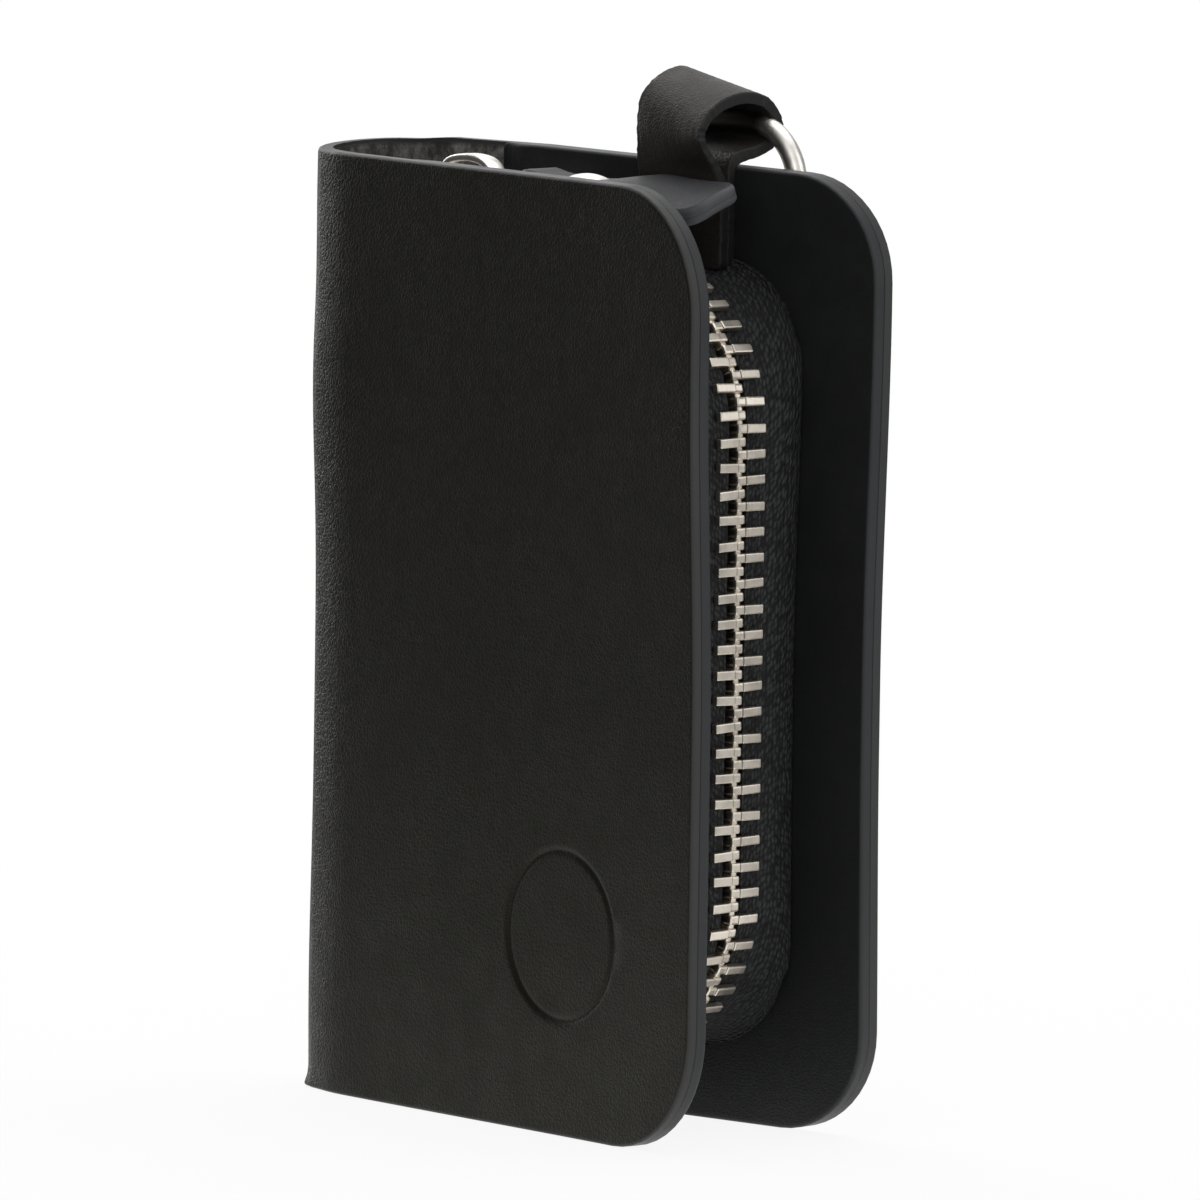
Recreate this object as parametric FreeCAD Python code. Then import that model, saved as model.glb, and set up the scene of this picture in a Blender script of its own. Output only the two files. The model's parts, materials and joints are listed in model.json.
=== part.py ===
import FreeCAD, Part
import math
import os

# Leather key case that stands like a book: a cover folded at a spine, a pouch between its panels closed by
# a metal zip that runs in a U, a pull tab along the top, a hang loop with a ring behind the back panel and
# a row of key hooks inside. Millimetres and degrees, +Z up, the front panel towards -Y.
# The shapes are laid out from the spine's outer line, and all are moved together at the end so that the
# origin is under the middle of the object.

# Cover and lining
cover_height = 100.0
panel_length = 64.0
panel_lean = 6.4
cover_leather = 1.6
lining_leather = 1.4
lining_start = 15.0
free_corner_radius = 13.0
spine_radius = 6.5
fold_gap = 0.2

# Plain ring pressed into the front panel
ring_mark_along = 41.9
ring_mark_height = 21.1
ring_mark_radius = 9.2
ring_mark_width = 0.6
ring_mark_depth = 0.35

# Zip tape and chain
chain_edge_inset = 8.1
chain_corner_drop = 25.5
chain_corner_radius = 15.5
chain_splay = 8.0
tape_edge_inset = 9.7
tape_corner_drop = 19.5
tape_corner_radius = 11.0
tape_splay = 6.0
tape_thickness = 0.7
tape_half_gap = 1.3
tape_flat_half_width = 4.6
tape_free_start = 6.0
tooth_pitch = 2.7
tooth_thickness = 1.1
tooth_height = 2.4
tooth_reach = 3.4
tooth_overlap = 0.5
tooth_slot_clearance = 0.05
stop_length = 1.5
stop_reach = 3.0
stop_half_gap = 0.35
stop_clearance = 0.6

# Slider
slider_offset = 14.3
slider_length = 11.0
slider_width = 8.6
slider_plate = 0.9
slider_corner_radius = 2.0
slider_clearance = 0.3
slider_lip = 0.8
wedge_length = 3.6
wedge_half_width = 0.95
crown_length = 8.8
crown_height = 4.3
crown_strap = 1.1
crown_width = 2.4

# Puller link and pull tab
link_wire = 1.3
link_length = 8.1
link_width = 6.9
link_corner_radius = 1.0
link_clearance = 0.15
tab_length = 25.6
tab_leather = 1.0
tab_bar_clearance = 0.1
tab_neck_width = 5.0
tab_neck_length = 4.1
tab_width = 8.2
tab_end_radius = 1.8
tab_droop = 0.5
rivet_neck_gap = 0.2
rivet_cap_diameter = 5.2
rivet_cap_height = 0.75
rivet_post_diameter = 2.4
rivet_flange_diameter = 4.8
rivet_flange_height = 0.6

# Hang loop and ring
strap_start = 34.3
strap_width = 11.0
strap_leather = 1.2
strap_foot_clearance = 0.3
loop_front_radius = 3.0
loop_front_out = 1.3
loop_front_rise = 5.6
loop_span = 4.6
loop_tilt = 1.0
ring_wire = 2.2
ring_bar_half = 5.0
ring_shoulder_radius = 4.6
ring_fit = 0.1

# Hook plate, rod and key hooks
hook_plate_length = 27.0
hook_plate_height = 8.0
hook_plate_sheet = 0.8
hook_plate_drop = 18.0
hook_rivet_inset = 3.0
hook_rivet_diameter = 2.0
hook_rivet_head_diameter = 3.8
hook_rivet_head_height = 0.7
hook_ear_width = 1.5
hook_rod_diameter = 1.6
hook_rod_standoff = 2.1
hook_count = 4
hook_eye_wall = 0.9
hook_eye_width = 2.4
hook_eye_fit = 0.08
hook_wire = 1.2
hook_loop_width = 4.4
hook_loop_length = 12.0
rivet_fit = 0.05

overrun = 1.0

# Worked out from the sizes above
lean_sin = math.sin(math.radians(panel_lean))
lean_cos = math.cos(math.radians(panel_lean))
middle_height = cover_height / 2
panel_thickness = cover_leather + lining_leather
panel_start_x = spine_radius * (1 - lean_sin)
panel_start_y = spine_radius * lean_cos
free_edge_x = panel_start_x + panel_length * lean_cos
panel_placement = FreeCAD.Placement(
    FreeCAD.Vector(panel_start_x, -panel_start_y, 0),
    FreeCAD.Rotation(FreeCAD.Vector(0, 0, 1), -panel_lean),
)
middle_plane = (FreeCAD.Vector(0, 0, 0), FreeCAD.Vector(0, 1, 0))
inwards_axis = FreeCAD.Vector(0, 1, 0)
slider_x = panel_start_x + slider_offset
tape_start_x = panel_start_x + tape_free_start
lining_start_x = panel_start_x + lining_start * lean_cos + panel_thickness * lean_sin
chain_reach = free_edge_x - chain_edge_inset
chain_half_run = middle_height - chain_corner_drop
tape_reach = panel_length - tape_edge_inset
tape_half_run = middle_height - tape_corner_drop
channel_half = tooth_height / 2 + slider_clearance
slot_half = tape_thickness / 2 + slider_clearance
link_radius = link_wire / 2
ring_radius = ring_wire / 2
rivet_along = tab_neck_length + rivet_neck_gap + rivet_cap_diameter / 2


def line(a, b):
    return Part.LineSegment(a, b).toShape()


def arc(a, through, b):
    return Part.Arc(a, through, b).toShape()


def face_of(edges):
    return Part.Face(Part.Wire(edges))


def box(low, high):
    size = high - low
    return Part.makeBox(size.x, size.y, size.z, low)


def bar(centre, radius, length, direction):
    """Cylinder whose middle lies on centre."""
    return Part.makeCylinder(radius, length, centre - direction * (length / 2), direction)


def mirrored(shape):
    return shape.mirror(*middle_plane)


def on_front(shape):
    """Places a shape drawn in the panel's own frame: x along the panel, y inwards, z up."""
    placed = shape.copy()
    placed.Placement = panel_placement.multiply(placed.Placement)
    return placed


def on_back(shape):
    return mirrored(on_front(shape))


def panel_point(along, depth, height):
    return panel_placement.multVec(FreeCAD.Vector(along, depth, height))


def rounded_end_outline(start, end, low, high, radius, place):
    """Closed outline that is square at its start and has two rounded corners at its end."""
    side = radius * math.sqrt(0.5)
    corners = [
        (start, low),
        (end - radius, low),
        (end - radius + side, low + radius - side),
        (end, low + radius),
        (end, high - radius),
        (end - radius + side, high - radius + side),
        (end - radius, high),
        (start, high),
    ]
    a, b, b_arc, c, d, d_arc, e, f = [place(*corner) for corner in corners]
    return face_of([line(a, b), arc(b, b_arc, c), line(c, d), arc(d, d_arc, e), line(e, f), line(f, a)])


def rounded_plate(length, width, radius, low, high):
    """Flat plate centred on the frame's own axis, with four rounded corners."""
    plate = box(FreeCAD.Vector(-length / 2, -width / 2, low), FreeCAD.Vector(length / 2, width / 2, high))
    upright = [e for e in plate.Edges if abs(e.Vertexes[0].Z - e.Vertexes[1].Z) > (high - low) / 2]
    return plate.makeFillet(radius, upright)


# Cover and lining

def panel_sheet(start, depth, thickness):
    outline = rounded_end_outline(
        start, panel_length, 0, cover_height, free_corner_radius, lambda s, z: FreeCAD.Vector(s, depth, z)
    )
    return outline.extrude(FreeCAD.Vector(0, thickness, 0))


def spine_quarter():
    """The front half of the spine's curve, from the fold line to the front panel."""
    def rim(radius, share):
        first = math.asin(fold_gap / 2 / radius)
        angle = math.pi + first + share * (math.radians(90 - panel_lean) - first)
        return FreeCAD.Vector(spine_radius + radius * math.cos(angle), radius * math.sin(angle), 0)

    inner = spine_radius - cover_leather
    half_share = 0.5
    profile = face_of([
        arc(rim(spine_radius, 0), rim(spine_radius, half_share), rim(spine_radius, 1)),
        line(rim(spine_radius, 1), rim(inner, 1)),
        arc(rim(inner, 1), rim(inner, half_share), rim(inner, 0)),
        line(rim(inner, 0), rim(spine_radius, 0)),
    ])
    return profile.extrude(FreeCAD.Vector(0, 0, cover_height))


def cover_half():
    return on_front(panel_sheet(0, 0, cover_leather)).fuse(spine_quarter()).removeSplitter()


def ring_mark():
    centre = FreeCAD.Vector(ring_mark_along, -overrun, ring_mark_height)
    depth = overrun + ring_mark_depth
    outer = Part.makeCylinder(ring_mark_radius, depth, centre, inwards_axis)
    inner = Part.makeCylinder(ring_mark_radius - ring_mark_width, depth, centre, inwards_axis)
    return on_front(outer.cut(inner))


def lining():
    return panel_sheet(lining_start, cover_leather, lining_leather)


# Zip tape, teeth and stops

def u_points(start, reach, radius, half_run, splay):
    """Points of a U that opens towards the spine: leg, corner, run, corner, leg, as (along, height)."""
    turn = math.radians(90 - splay)
    centre = reach - radius
    leg_along = centre + radius * math.cos(turn)
    leg_rise = half_run + radius * math.sin(turn)
    start_rise = leg_rise + (leg_along - start) * math.tan(math.radians(splay))
    corner_along = centre + radius * math.cos(turn / 2)
    corner_rise = half_run + radius * math.sin(turn / 2)
    half = [(start, start_rise), (leg_along, leg_rise), (corner_along, corner_rise), (reach, half_run)]
    other = [(along, -rise) for along, rise in reversed(half)]
    return [(along, middle_height + rise) for along, rise in half + other]


def u_edges(points):
    a, b, c, d, e, f, g, h = points
    return [line(a, b), arc(b, c, d), line(d, e), arc(e, f, g), line(g, h)]


def u_band(start, reach, radius, half_run, splay, place):
    """Closed wire of a U as thick as the tape, about its middle line."""
    half = tape_thickness / 2
    outer = [place(*p) for p in u_points(start, reach + half, radius + half, half_run, splay)]
    inner = [place(*p) for p in u_points(start, reach - half, radius - half, half_run, splay)]
    inner.reverse()
    edges = u_edges(outer) + [line(outer[-1], inner[0])] + u_edges(inner) + [line(inner[-1], outer[0])]
    return Part.Wire(edges)


def chain_band(start, across):
    return u_band(
        start, chain_reach, chain_corner_radius, chain_half_run, chain_splay,
        lambda x, z: FreeCAD.Vector(x, -across, z),
    )


def zip_tape():
    """Front tape: a flat strip beside the teeth and a gusset from there to the lining."""
    flat = Part.Face(chain_band(tape_start_x, tape_half_gap))
    strip = flat.extrude(FreeCAD.Vector(0, tape_half_gap - tape_flat_half_width, 0))
    seam = u_band(
        lining_start, tape_reach, tape_corner_radius, tape_half_run, tape_splay,
        lambda s, z: panel_point(s, panel_thickness, z),
    )
    gusset = Part.makeLoft([chain_band(lining_start_x, tape_flat_half_width), seam], True, True)
    return strip.fuse(gusset)


chain_points = u_points(slider_x, chain_reach, chain_corner_radius, chain_half_run, chain_splay)
chain_leg = math.hypot(chain_points[1][0] - slider_x, chain_points[1][1] - chain_points[0][1])
chain_corner = chain_corner_radius * math.radians(90 - chain_splay)
chain_far_leg = (chain_points[1][0] - tape_start_x) / math.cos(math.radians(chain_splay))
chain_length = chain_leg + 2 * chain_corner + 2 * chain_half_run + chain_far_leg


def chain_placement(travel):
    """Frame on the chain at a distance from the slider: x along the chain, z out of the pouch."""
    top_leg_end = chain_leg
    top_corner_end = top_leg_end + chain_corner
    run_end = top_corner_end + 2 * chain_half_run
    low_corner_end = run_end + chain_corner
    centre_x = chain_reach - chain_corner_radius
    if travel < top_leg_end:
        turn = chain_splay
        x = slider_x + travel * math.cos(math.radians(turn))
        z = chain_points[0][1] - travel * math.sin(math.radians(turn))
    elif travel < top_corner_end:
        turn = chain_splay + math.degrees((travel - top_leg_end) / chain_corner_radius)
        x = centre_x + chain_corner_radius * math.sin(math.radians(turn))
        z = middle_height + chain_half_run + chain_corner_radius * math.cos(math.radians(turn))
    elif travel < run_end:
        turn = 90
        x = chain_reach
        z = middle_height + chain_half_run - (travel - top_corner_end)
    elif travel < low_corner_end:
        turn = 90 + math.degrees((travel - run_end) / chain_corner_radius)
        x = centre_x + chain_corner_radius * math.sin(math.radians(turn))
        z = middle_height - chain_half_run + chain_corner_radius * math.cos(math.radians(turn))
    else:
        turn = 180 - chain_splay
        x = chain_points[6][0] + (travel - low_corner_end) * math.cos(math.radians(turn))
        z = chain_points[6][1] - (travel - low_corner_end) * math.sin(math.radians(turn))
    return FreeCAD.Placement(FreeCAD.Vector(x, 0, z), FreeCAD.Rotation(FreeCAD.Vector(0, 1, 0), turn))


def on_chain(shape, travel):
    placed = shape.copy()
    placed.Placement = chain_placement(travel)
    return placed


def clip(length, inner, outer, height):
    """Metal clip pressed over the edge of the front tape, with a slot that holds the tape."""
    half = length / 2
    body = box(FreeCAD.Vector(-half, -outer, -height / 2), FreeCAD.Vector(half, -inner, height / 2))
    slot = tape_thickness / 2 + tooth_slot_clearance
    cut = box(
        FreeCAD.Vector(-half - overrun, -outer - overrun, -slot),
        FreeCAD.Vector(half + overrun, tooth_slot_clearance - tape_half_gap, slot),
    )
    return body.cut(cut)


first_tooth = slider_length / 2 + tooth_pitch / 2
last_tooth = chain_length - stop_length - tooth_pitch
tooth_count = 1 + int((last_tooth - first_tooth) / tooth_pitch)


def tooth_row(shift):
    tooth = clip(tooth_thickness, -tooth_overlap, tooth_reach, tooth_height)
    return [on_chain(tooth, first_tooth + shift + i * tooth_pitch) for i in range(tooth_count)]


def top_stop():
    stop = clip(stop_length, stop_half_gap, stop_reach, tooth_height)
    return on_chain(stop, -slider_length / 2 - stop_clearance - stop_length / 2)


def bottom_stop():
    stop = clip(stop_length, stop_half_gap - tape_half_gap, stop_reach, tooth_height)
    last_front_tooth = first_tooth + tooth_pitch * (tooth_count - 1) + tooth_pitch / 2
    return on_chain(stop, last_front_tooth + tooth_thickness / 2 + stop_clearance + stop_length / 2)


# Slider, puller link and pull tab

slider_placement = chain_placement(0)
plate_top = channel_half + slider_plate
crown_half = crown_length / 2
window_half = crown_half - crown_strap
window_top = plate_top + crown_height - crown_strap
link_bar = slider_placement.multVec(
    FreeCAD.Vector(window_half - link_radius - link_clearance, 0, window_top - link_radius - link_clearance)
)
tab_bar = link_bar + FreeCAD.Vector(link_length, 0, 0)
tab_placement = FreeCAD.Placement(tab_bar, FreeCAD.Rotation(FreeCAD.Vector(0, 1, 0), tab_droop))
across_axis = FreeCAD.Vector(0, 1, 0)


def on_slider(shape):
    placed = shape.copy()
    placed.Placement = slider_placement
    return placed


def slider_body():
    upper = rounded_plate(slider_length, slider_width, slider_corner_radius, channel_half, plate_top)
    lower = rounded_plate(slider_length, slider_width, slider_corner_radius, -plate_top, -channel_half)
    nose = -slider_length / 2
    wedge = box(
        FreeCAD.Vector(nose, -wedge_half_width, -channel_half),
        FreeCAD.Vector(nose + wedge_length, wedge_half_width, channel_half),
    )
    body = upper.fuse([lower, wedge])
    lip_half = slider_length / 2 - slider_corner_radius
    for side in (-1, 1):
        for level in (-1, 1):
            edges = sorted([side * slider_width / 2, side * (slider_width / 2 - slider_lip)])
            levels = sorted([level * slot_half, level * channel_half])
            lip = box(
                FreeCAD.Vector(-lip_half, edges[0], levels[0]), FreeCAD.Vector(lip_half, edges[1], levels[1])
            )
            body = body.fuse(lip)
    return on_slider(body.removeSplitter())


def arch(half_length, top, radius, width):
    """Upright block on the slider's top plate with two rounded upper corners."""
    side = radius * math.sqrt(0.5)
    corners = [
        (-half_length, plate_top),
        (half_length, plate_top),
        (half_length, top - radius),
        (half_length - radius + side, top - radius + side),
        (half_length - radius, top),
        (radius - half_length, top),
        (radius - half_length - side, top - radius + side),
        (-half_length, top - radius),
    ]
    a, b, c, c_arc, d, e, e_arc, f = [FreeCAD.Vector(x, -width / 2, z) for x, z in corners]
    profile = face_of([line(a, b), line(b, c), arc(c, c_arc, d), line(d, e), arc(e, e_arc, f), line(f, a)])
    return profile.extrude(across_axis * width)


def slider_crown():
    bend = link_radius + link_clearance
    outer = arch(crown_half, window_top + crown_strap, bend + crown_strap, crown_width)
    window = arch(window_half, window_top, bend, crown_width + 2 * overrun)
    return on_slider(outer.cut(window))


def wire_ring(path, start, direction, radius):
    """Round wire along a closed path."""
    section = Part.Wire(Part.makeCircle(radius, start, direction))
    return Part.Wire(path).makePipeShell([section], True, False)


def puller_link():
    half = link_width / 2
    radius = link_corner_radius
    side = radius * math.sqrt(0.5)
    far = link_length
    corners = [
        (0, radius - half), (0, half - radius), (radius - side, half - radius + side), (radius, half),
        (far - radius, half), (far - radius + side, half - radius + side), (far, half - radius),
        (far, radius - half), (far - radius + side, radius - side - half), (far - radius, -half),
        (radius, -half), (radius - side, radius - side - half),
    ]
    p = [link_bar + FreeCAD.Vector(x, y, 0) for x, y in corners]
    path = [
        line(link_bar, p[1]), arc(p[1], p[2], p[3]), line(p[3], p[4]), arc(p[4], p[5], p[6]),
        line(p[6], p[7]), arc(p[7], p[8], p[9]), line(p[9], p[10]), arc(p[10], p[11], p[0]),
        line(p[0], link_bar),
    ]
    return wire_ring(path, link_bar, across_axis, link_radius)


def on_tab(shape):
    placed = shape.copy()
    placed.Placement = tab_placement.multiply(placed.Placement)
    return placed


def pull_tab():
    """Leather strip folded round the link's far bar and closed by the rivet."""
    fold = link_radius + tab_bar_clearance + tab_leather
    width = tab_width
    origin = FreeCAD.Vector(0, 0, 0)
    taper = face_of([
        line(FreeCAD.Vector(0, -width / 2, -fold), FreeCAD.Vector(tab_neck_length, -width / 2, -tab_leather)),
        line(
            FreeCAD.Vector(tab_neck_length, -width / 2, -tab_leather),
            FreeCAD.Vector(tab_neck_length, -width / 2, tab_leather),
        ),
        line(FreeCAD.Vector(tab_neck_length, -width / 2, tab_leather), FreeCAD.Vector(0, -width / 2, fold)),
        line(FreeCAD.Vector(0, -width / 2, fold), FreeCAD.Vector(0, -width / 2, -fold)),
    ]).extrude(across_axis * width)
    neck = bar(origin, fold, tab_neck_width, across_axis).fuse(taper)
    neck_room = box(
        FreeCAD.Vector(-fold - overrun, -tab_neck_width / 2, -fold - overrun),
        FreeCAD.Vector(tab_neck_length + overrun, tab_neck_width / 2, fold + overrun),
    )
    outline = rounded_end_outline(
        tab_neck_length, tab_length, -width / 2, width / 2, tab_end_radius,
        lambda x, y: FreeCAD.Vector(x, y, -tab_leather),
    )
    strip = outline.extrude(FreeCAD.Vector(0, 0, 2 * tab_leather))
    leather = neck.common(neck_room).fuse(strip)
    leather = leather.cut(bar(origin, link_radius + tab_bar_clearance, width + overrun, across_axis))
    hole = Part.makeCylinder(
        rivet_post_diameter / 2 + rivet_fit, 2 * (tab_leather + overrun),
        FreeCAD.Vector(rivet_along, 0, -tab_leather - overrun),
    )
    return on_tab(leather.cut(hole).removeSplitter())


def dome(diameter, height):
    """Shallow round head that stands on the plane z = 0."""
    radius = ((diameter / 2) ** 2 + height ** 2) / (2 * height)
    ball = Part.makeSphere(radius, FreeCAD.Vector(0, 0, height - radius))
    room = Part.makeCylinder(diameter, height + overrun)
    return ball.common(room)


def tab_rivet_cap():
    cap = dome(rivet_cap_diameter, rivet_cap_height)
    cap.translate(FreeCAD.Vector(rivet_along, 0, tab_leather))
    return on_tab(cap)


def tab_rivet_post():
    foot = FreeCAD.Vector(rivet_along, 0, -tab_leather)
    post = Part.makeCylinder(rivet_post_diameter / 2, 2 * tab_leather, foot)
    flange = Part.makeCylinder(
        rivet_flange_diameter / 2, rivet_flange_height, foot, FreeCAD.Vector(0, 0, -1)
    )
    return on_tab(post.fuse(flange).removeSplitter())


# Hang loop and ring, drawn in the panel's own frame with depths under zero outside the cover

seam_points = u_points(lining_start, tape_reach + tape_thickness, tape_corner_radius + tape_thickness,
                       tape_half_run, tape_splay)
strap_foot = (
    seam_points[1][1]
    + (seam_points[1][0] - strap_start) * math.tan(math.radians(tape_splay))
    + strap_foot_clearance
)
loop_front = (panel_thickness - loop_front_out, cover_height + loop_front_rise)
loop_back_radius = ring_radius + ring_fit
loop_back = (
    loop_front[0] - loop_span * math.cos(math.radians(loop_tilt)),
    loop_front[1] + loop_span * math.sin(math.radians(loop_tilt)),
)
ring_middle = strap_start + strap_width / 2
ring_bar = FreeCAD.Vector(ring_middle, loop_back[0], loop_back[1])


def belt(first, first_radius, second, second_radius, start, width):
    """Solid with the outline of a belt round two circles in the panel's depth and height."""
    span = math.hypot(second[0] - first[0], second[1] - first[1])
    heading = math.atan2(second[1] - first[1], second[0] - first[0])
    open_angle = math.acos((first_radius - second_radius) / span)

    def rim(centre, radius, angle):
        return FreeCAD.Vector(
            start, centre[0] + radius * math.cos(angle), centre[1] + radius * math.sin(angle)
        )

    low, high = heading + open_angle, heading - open_angle
    first_low = rim(first, first_radius, low)
    first_high = rim(first, first_radius, high)
    second_low = rim(second, second_radius, low)
    second_high = rim(second, second_radius, high)
    profile = face_of([
        line(first_high, second_high),
        arc(second_high, rim(second, second_radius, heading), second_low),
        line(second_low, first_low),
        arc(first_low, rim(first, first_radius, heading + math.pi), first_high),
    ])
    return profile.extrude(FreeCAD.Vector(width, 0, 0))


def hang_loop():
    """Strip folded round the ring's bar, with both layers together against the lining below."""
    outer = belt(
        loop_front, loop_front_radius + strap_leather, loop_back, loop_back_radius + strap_leather,
        strap_start, strap_width,
    )
    legs = box(
        FreeCAD.Vector(strap_start, panel_thickness, strap_foot),
        FreeCAD.Vector(strap_start + strap_width, panel_thickness + 2 * strap_leather, loop_front[1]),
    )
    eye = belt(
        loop_front, loop_front_radius, loop_back, loop_back_radius,
        strap_start - overrun, strap_width + 2 * overrun,
    )
    return on_back(outer.fuse(legs).cut(eye).removeSplitter())


def hanging_ring():
    half = ring_bar_half
    shoulder = ring_shoulder_radius
    side = shoulder * math.sqrt(0.5)
    bow = half + shoulder

    def at(along, drop):
        return ring_bar + FreeCAD.Vector(along, 0, -drop)

    path = [
        line(ring_bar, at(half, 0)),
        arc(at(half, 0), at(half + side, shoulder - side), at(bow, shoulder)),
        arc(at(bow, shoulder), at(0, shoulder + bow), at(-bow, shoulder)),
        arc(at(-bow, shoulder), at(-half - side, shoulder - side), at(-half, 0)),
        line(at(-half, 0), ring_bar),
    ]
    return on_back(wire_ring(path, ring_bar, FreeCAD.Vector(1, 0, 0), ring_radius))


# Hook plate, rod and key hooks on the back lining, drawn in the panel's own frame

along_axis = FreeCAD.Vector(1, 0, 0)
hook_plate_start = (lining_start + tape_reach - hook_plate_length) / 2
hook_plate_top = cover_height - hook_plate_drop
hook_plate_low = hook_plate_top - hook_plate_height
hook_plate_end = hook_plate_start + hook_plate_length
rod_radius = hook_rod_diameter / 2
eye_bore = rod_radius + hook_eye_fit
eye_radius = eye_bore + hook_eye_wall
rod_depth = panel_thickness + hook_plate_sheet + hook_rod_standoff
rod_height = hook_plate_low + eye_radius
rod_centre = FreeCAD.Vector(hook_plate_start + hook_plate_length / 2, rod_depth, rod_height)
hook_room = hook_plate_length - 2 * hook_ear_width
hook_spacing = hook_room / hook_count
hook_rivet_height = hook_plate_top - hook_rivet_inset
hook_rivet_places = (hook_plate_start + hook_rivet_inset, hook_plate_end - hook_rivet_inset)


def hook_rivet_holes():
    radius = hook_rivet_diameter / 2 + rivet_fit
    reach = panel_thickness + hook_plate_sheet + overrun - cover_leather
    return [
        Part.makeCylinder(radius, reach, FreeCAD.Vector(s, cover_leather, hook_rivet_height), inwards_axis)
        for s in hook_rivet_places
    ]


def hook_plate():
    face_depth = panel_thickness + hook_plate_sheet
    plate = box(
        FreeCAD.Vector(hook_plate_start, panel_thickness, hook_plate_low),
        FreeCAD.Vector(hook_plate_end, face_depth, hook_plate_top),
    )
    for start in (hook_plate_start, hook_plate_end - hook_ear_width):
        ear = box(
            FreeCAD.Vector(start, face_depth, rod_height - eye_radius),
            FreeCAD.Vector(start + hook_ear_width, rod_depth, rod_height + eye_radius),
        )
        knuckle = Part.makeCylinder(
            eye_radius, hook_ear_width, FreeCAD.Vector(start, rod_depth, rod_height), along_axis
        )
        plate = plate.fuse([ear, knuckle])
    bore = bar(rod_centre, rod_radius + rivet_fit, hook_plate_length + overrun, along_axis)
    return on_back(plate.cut(hook_rivet_holes() + [bore]).removeSplitter())


def hook_rod():
    return on_back(bar(rod_centre, rod_radius, hook_plate_length, along_axis))


def hook_rivets():
    rivets = []
    seat = panel_thickness + hook_plate_sheet
    for s in hook_rivet_places:
        foot = FreeCAD.Vector(s, cover_leather, hook_rivet_height)
        shank = Part.makeCylinder(hook_rivet_diameter / 2, seat - cover_leather, foot, inwards_axis)
        head = dome(hook_rivet_head_diameter, hook_rivet_head_height)
        head.Placement = FreeCAD.Placement(
            FreeCAD.Vector(s, seat, hook_rivet_height), FreeCAD.Rotation(along_axis, -90)
        )
        rivets.append(on_back(shank.fuse(head).removeSplitter()))
    return rivets


def key_hook(index):
    """Wire loop for a key under an eye that turns on the rod."""
    s = hook_plate_start + hook_ear_width + (2 * index + 1) * hook_spacing / 2
    centre = FreeCAD.Vector(s, rod_depth, rod_height)
    eye = bar(centre, eye_radius, hook_eye_width, along_axis)
    radius = hook_loop_width / 2 - hook_wire / 2
    top = centre - FreeCAD.Vector(0, 0, eye_radius)
    side = radius * math.sqrt(0.5)
    run = hook_loop_length - 2 * radius

    def at(across_loop, drop):
        return top + FreeCAD.Vector(across_loop, 0, -drop)

    path = [
        arc(at(0, 0), at(side, radius - side), at(radius, radius)),
        line(at(radius, radius), at(radius, radius + run)),
        arc(at(radius, radius + run), at(0, 2 * radius + run), at(-radius, radius + run)),
        line(at(-radius, radius + run), at(-radius, radius)),
        arc(at(-radius, radius), at(-side, radius - side), at(0, 0)),
    ]
    loop = wire_ring(path, top, along_axis, hook_wire / 2)
    hook = eye.fuse(loop).cut(bar(centre, eye_bore, hook_eye_width + overrun, along_axis))
    return on_back(hook.removeSplitter())


front_tape = zip_tape()
cover = cover_half()
nodes = {
    "front_cover": cover.cut(ring_mark()),
    "back_cover": mirrored(cover),
    "front_lining": on_front(lining()),
    "back_lining": on_back(lining().cut(hook_rivet_holes())),
    "front_zip_tape": front_tape,
    "back_zip_tape": mirrored(front_tape),
    "front_zip_teeth": Part.makeCompound(tooth_row(tooth_pitch / 2)),
    "back_zip_teeth": mirrored(Part.makeCompound(tooth_row(0))),
    "front_top_stop": top_stop(),
    "back_top_stop": mirrored(top_stop()),
    "zip_bottom_stop": mirrored(bottom_stop()),
    "slider_body": slider_body(),
    "slider_crown": slider_crown(),
    "puller_link": puller_link(),
    "pull_tab_leather": pull_tab(),
    "tab_rivet_cap": tab_rivet_cap(),
    "tab_rivet_post": tab_rivet_post(),
    "hang_loop": hang_loop(),
    "hanging_ring": hanging_ring(),
    "hook_plate": hook_plate(),
    "hook_plate_rivets": Part.makeCompound(hook_rivets()),
    "hook_rod": hook_rod(),
}
for number in range(hook_count):
    nodes["key_hook_%d" % (number + 1)] = key_hook(number)

# The whole object stands with the middle of its box over the origin
bounds = Part.makeCompound(list(nodes.values())).optimalBoundingBox()
shift = FreeCAD.Vector(-bounds.Center.x, -bounds.Center.y, -bounds.ZMin)

os.makedirs("parts", exist_ok=True)
for name, shape in nodes.items():
    placed = shape.copy()
    placed.translate(shift)
    placed.exportStep("parts/%s.step" % name)
    print(name, len(placed.Solids), "solids", round(placed.Volume, 2), "mm3", placed.isValid())
print("box", bounds.XLength, bounds.YLength, bounds.ZLength, "teeth in a row", tooth_count)
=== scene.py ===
import json
import math

import bmesh
import bpy
import numpy as np
from mathutils import Matrix, Vector


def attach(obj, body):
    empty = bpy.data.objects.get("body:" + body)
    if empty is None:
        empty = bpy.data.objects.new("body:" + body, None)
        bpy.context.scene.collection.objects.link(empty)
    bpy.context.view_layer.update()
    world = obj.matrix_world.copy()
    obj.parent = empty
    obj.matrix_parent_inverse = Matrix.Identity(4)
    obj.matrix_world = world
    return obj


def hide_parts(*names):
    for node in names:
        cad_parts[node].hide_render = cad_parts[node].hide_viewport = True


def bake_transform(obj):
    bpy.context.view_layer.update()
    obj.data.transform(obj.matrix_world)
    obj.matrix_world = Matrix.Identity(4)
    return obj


# A black leather key case that stands half open: a folded cover with painted rims, linings, a zip in a U
# with woven tapes and metal teeth, a slider with a leather pull tab, and a hang loop with a ring.
# Lengths are millimetres from the spine's outer line on the floor: x towards the zip, y towards the back.

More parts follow.
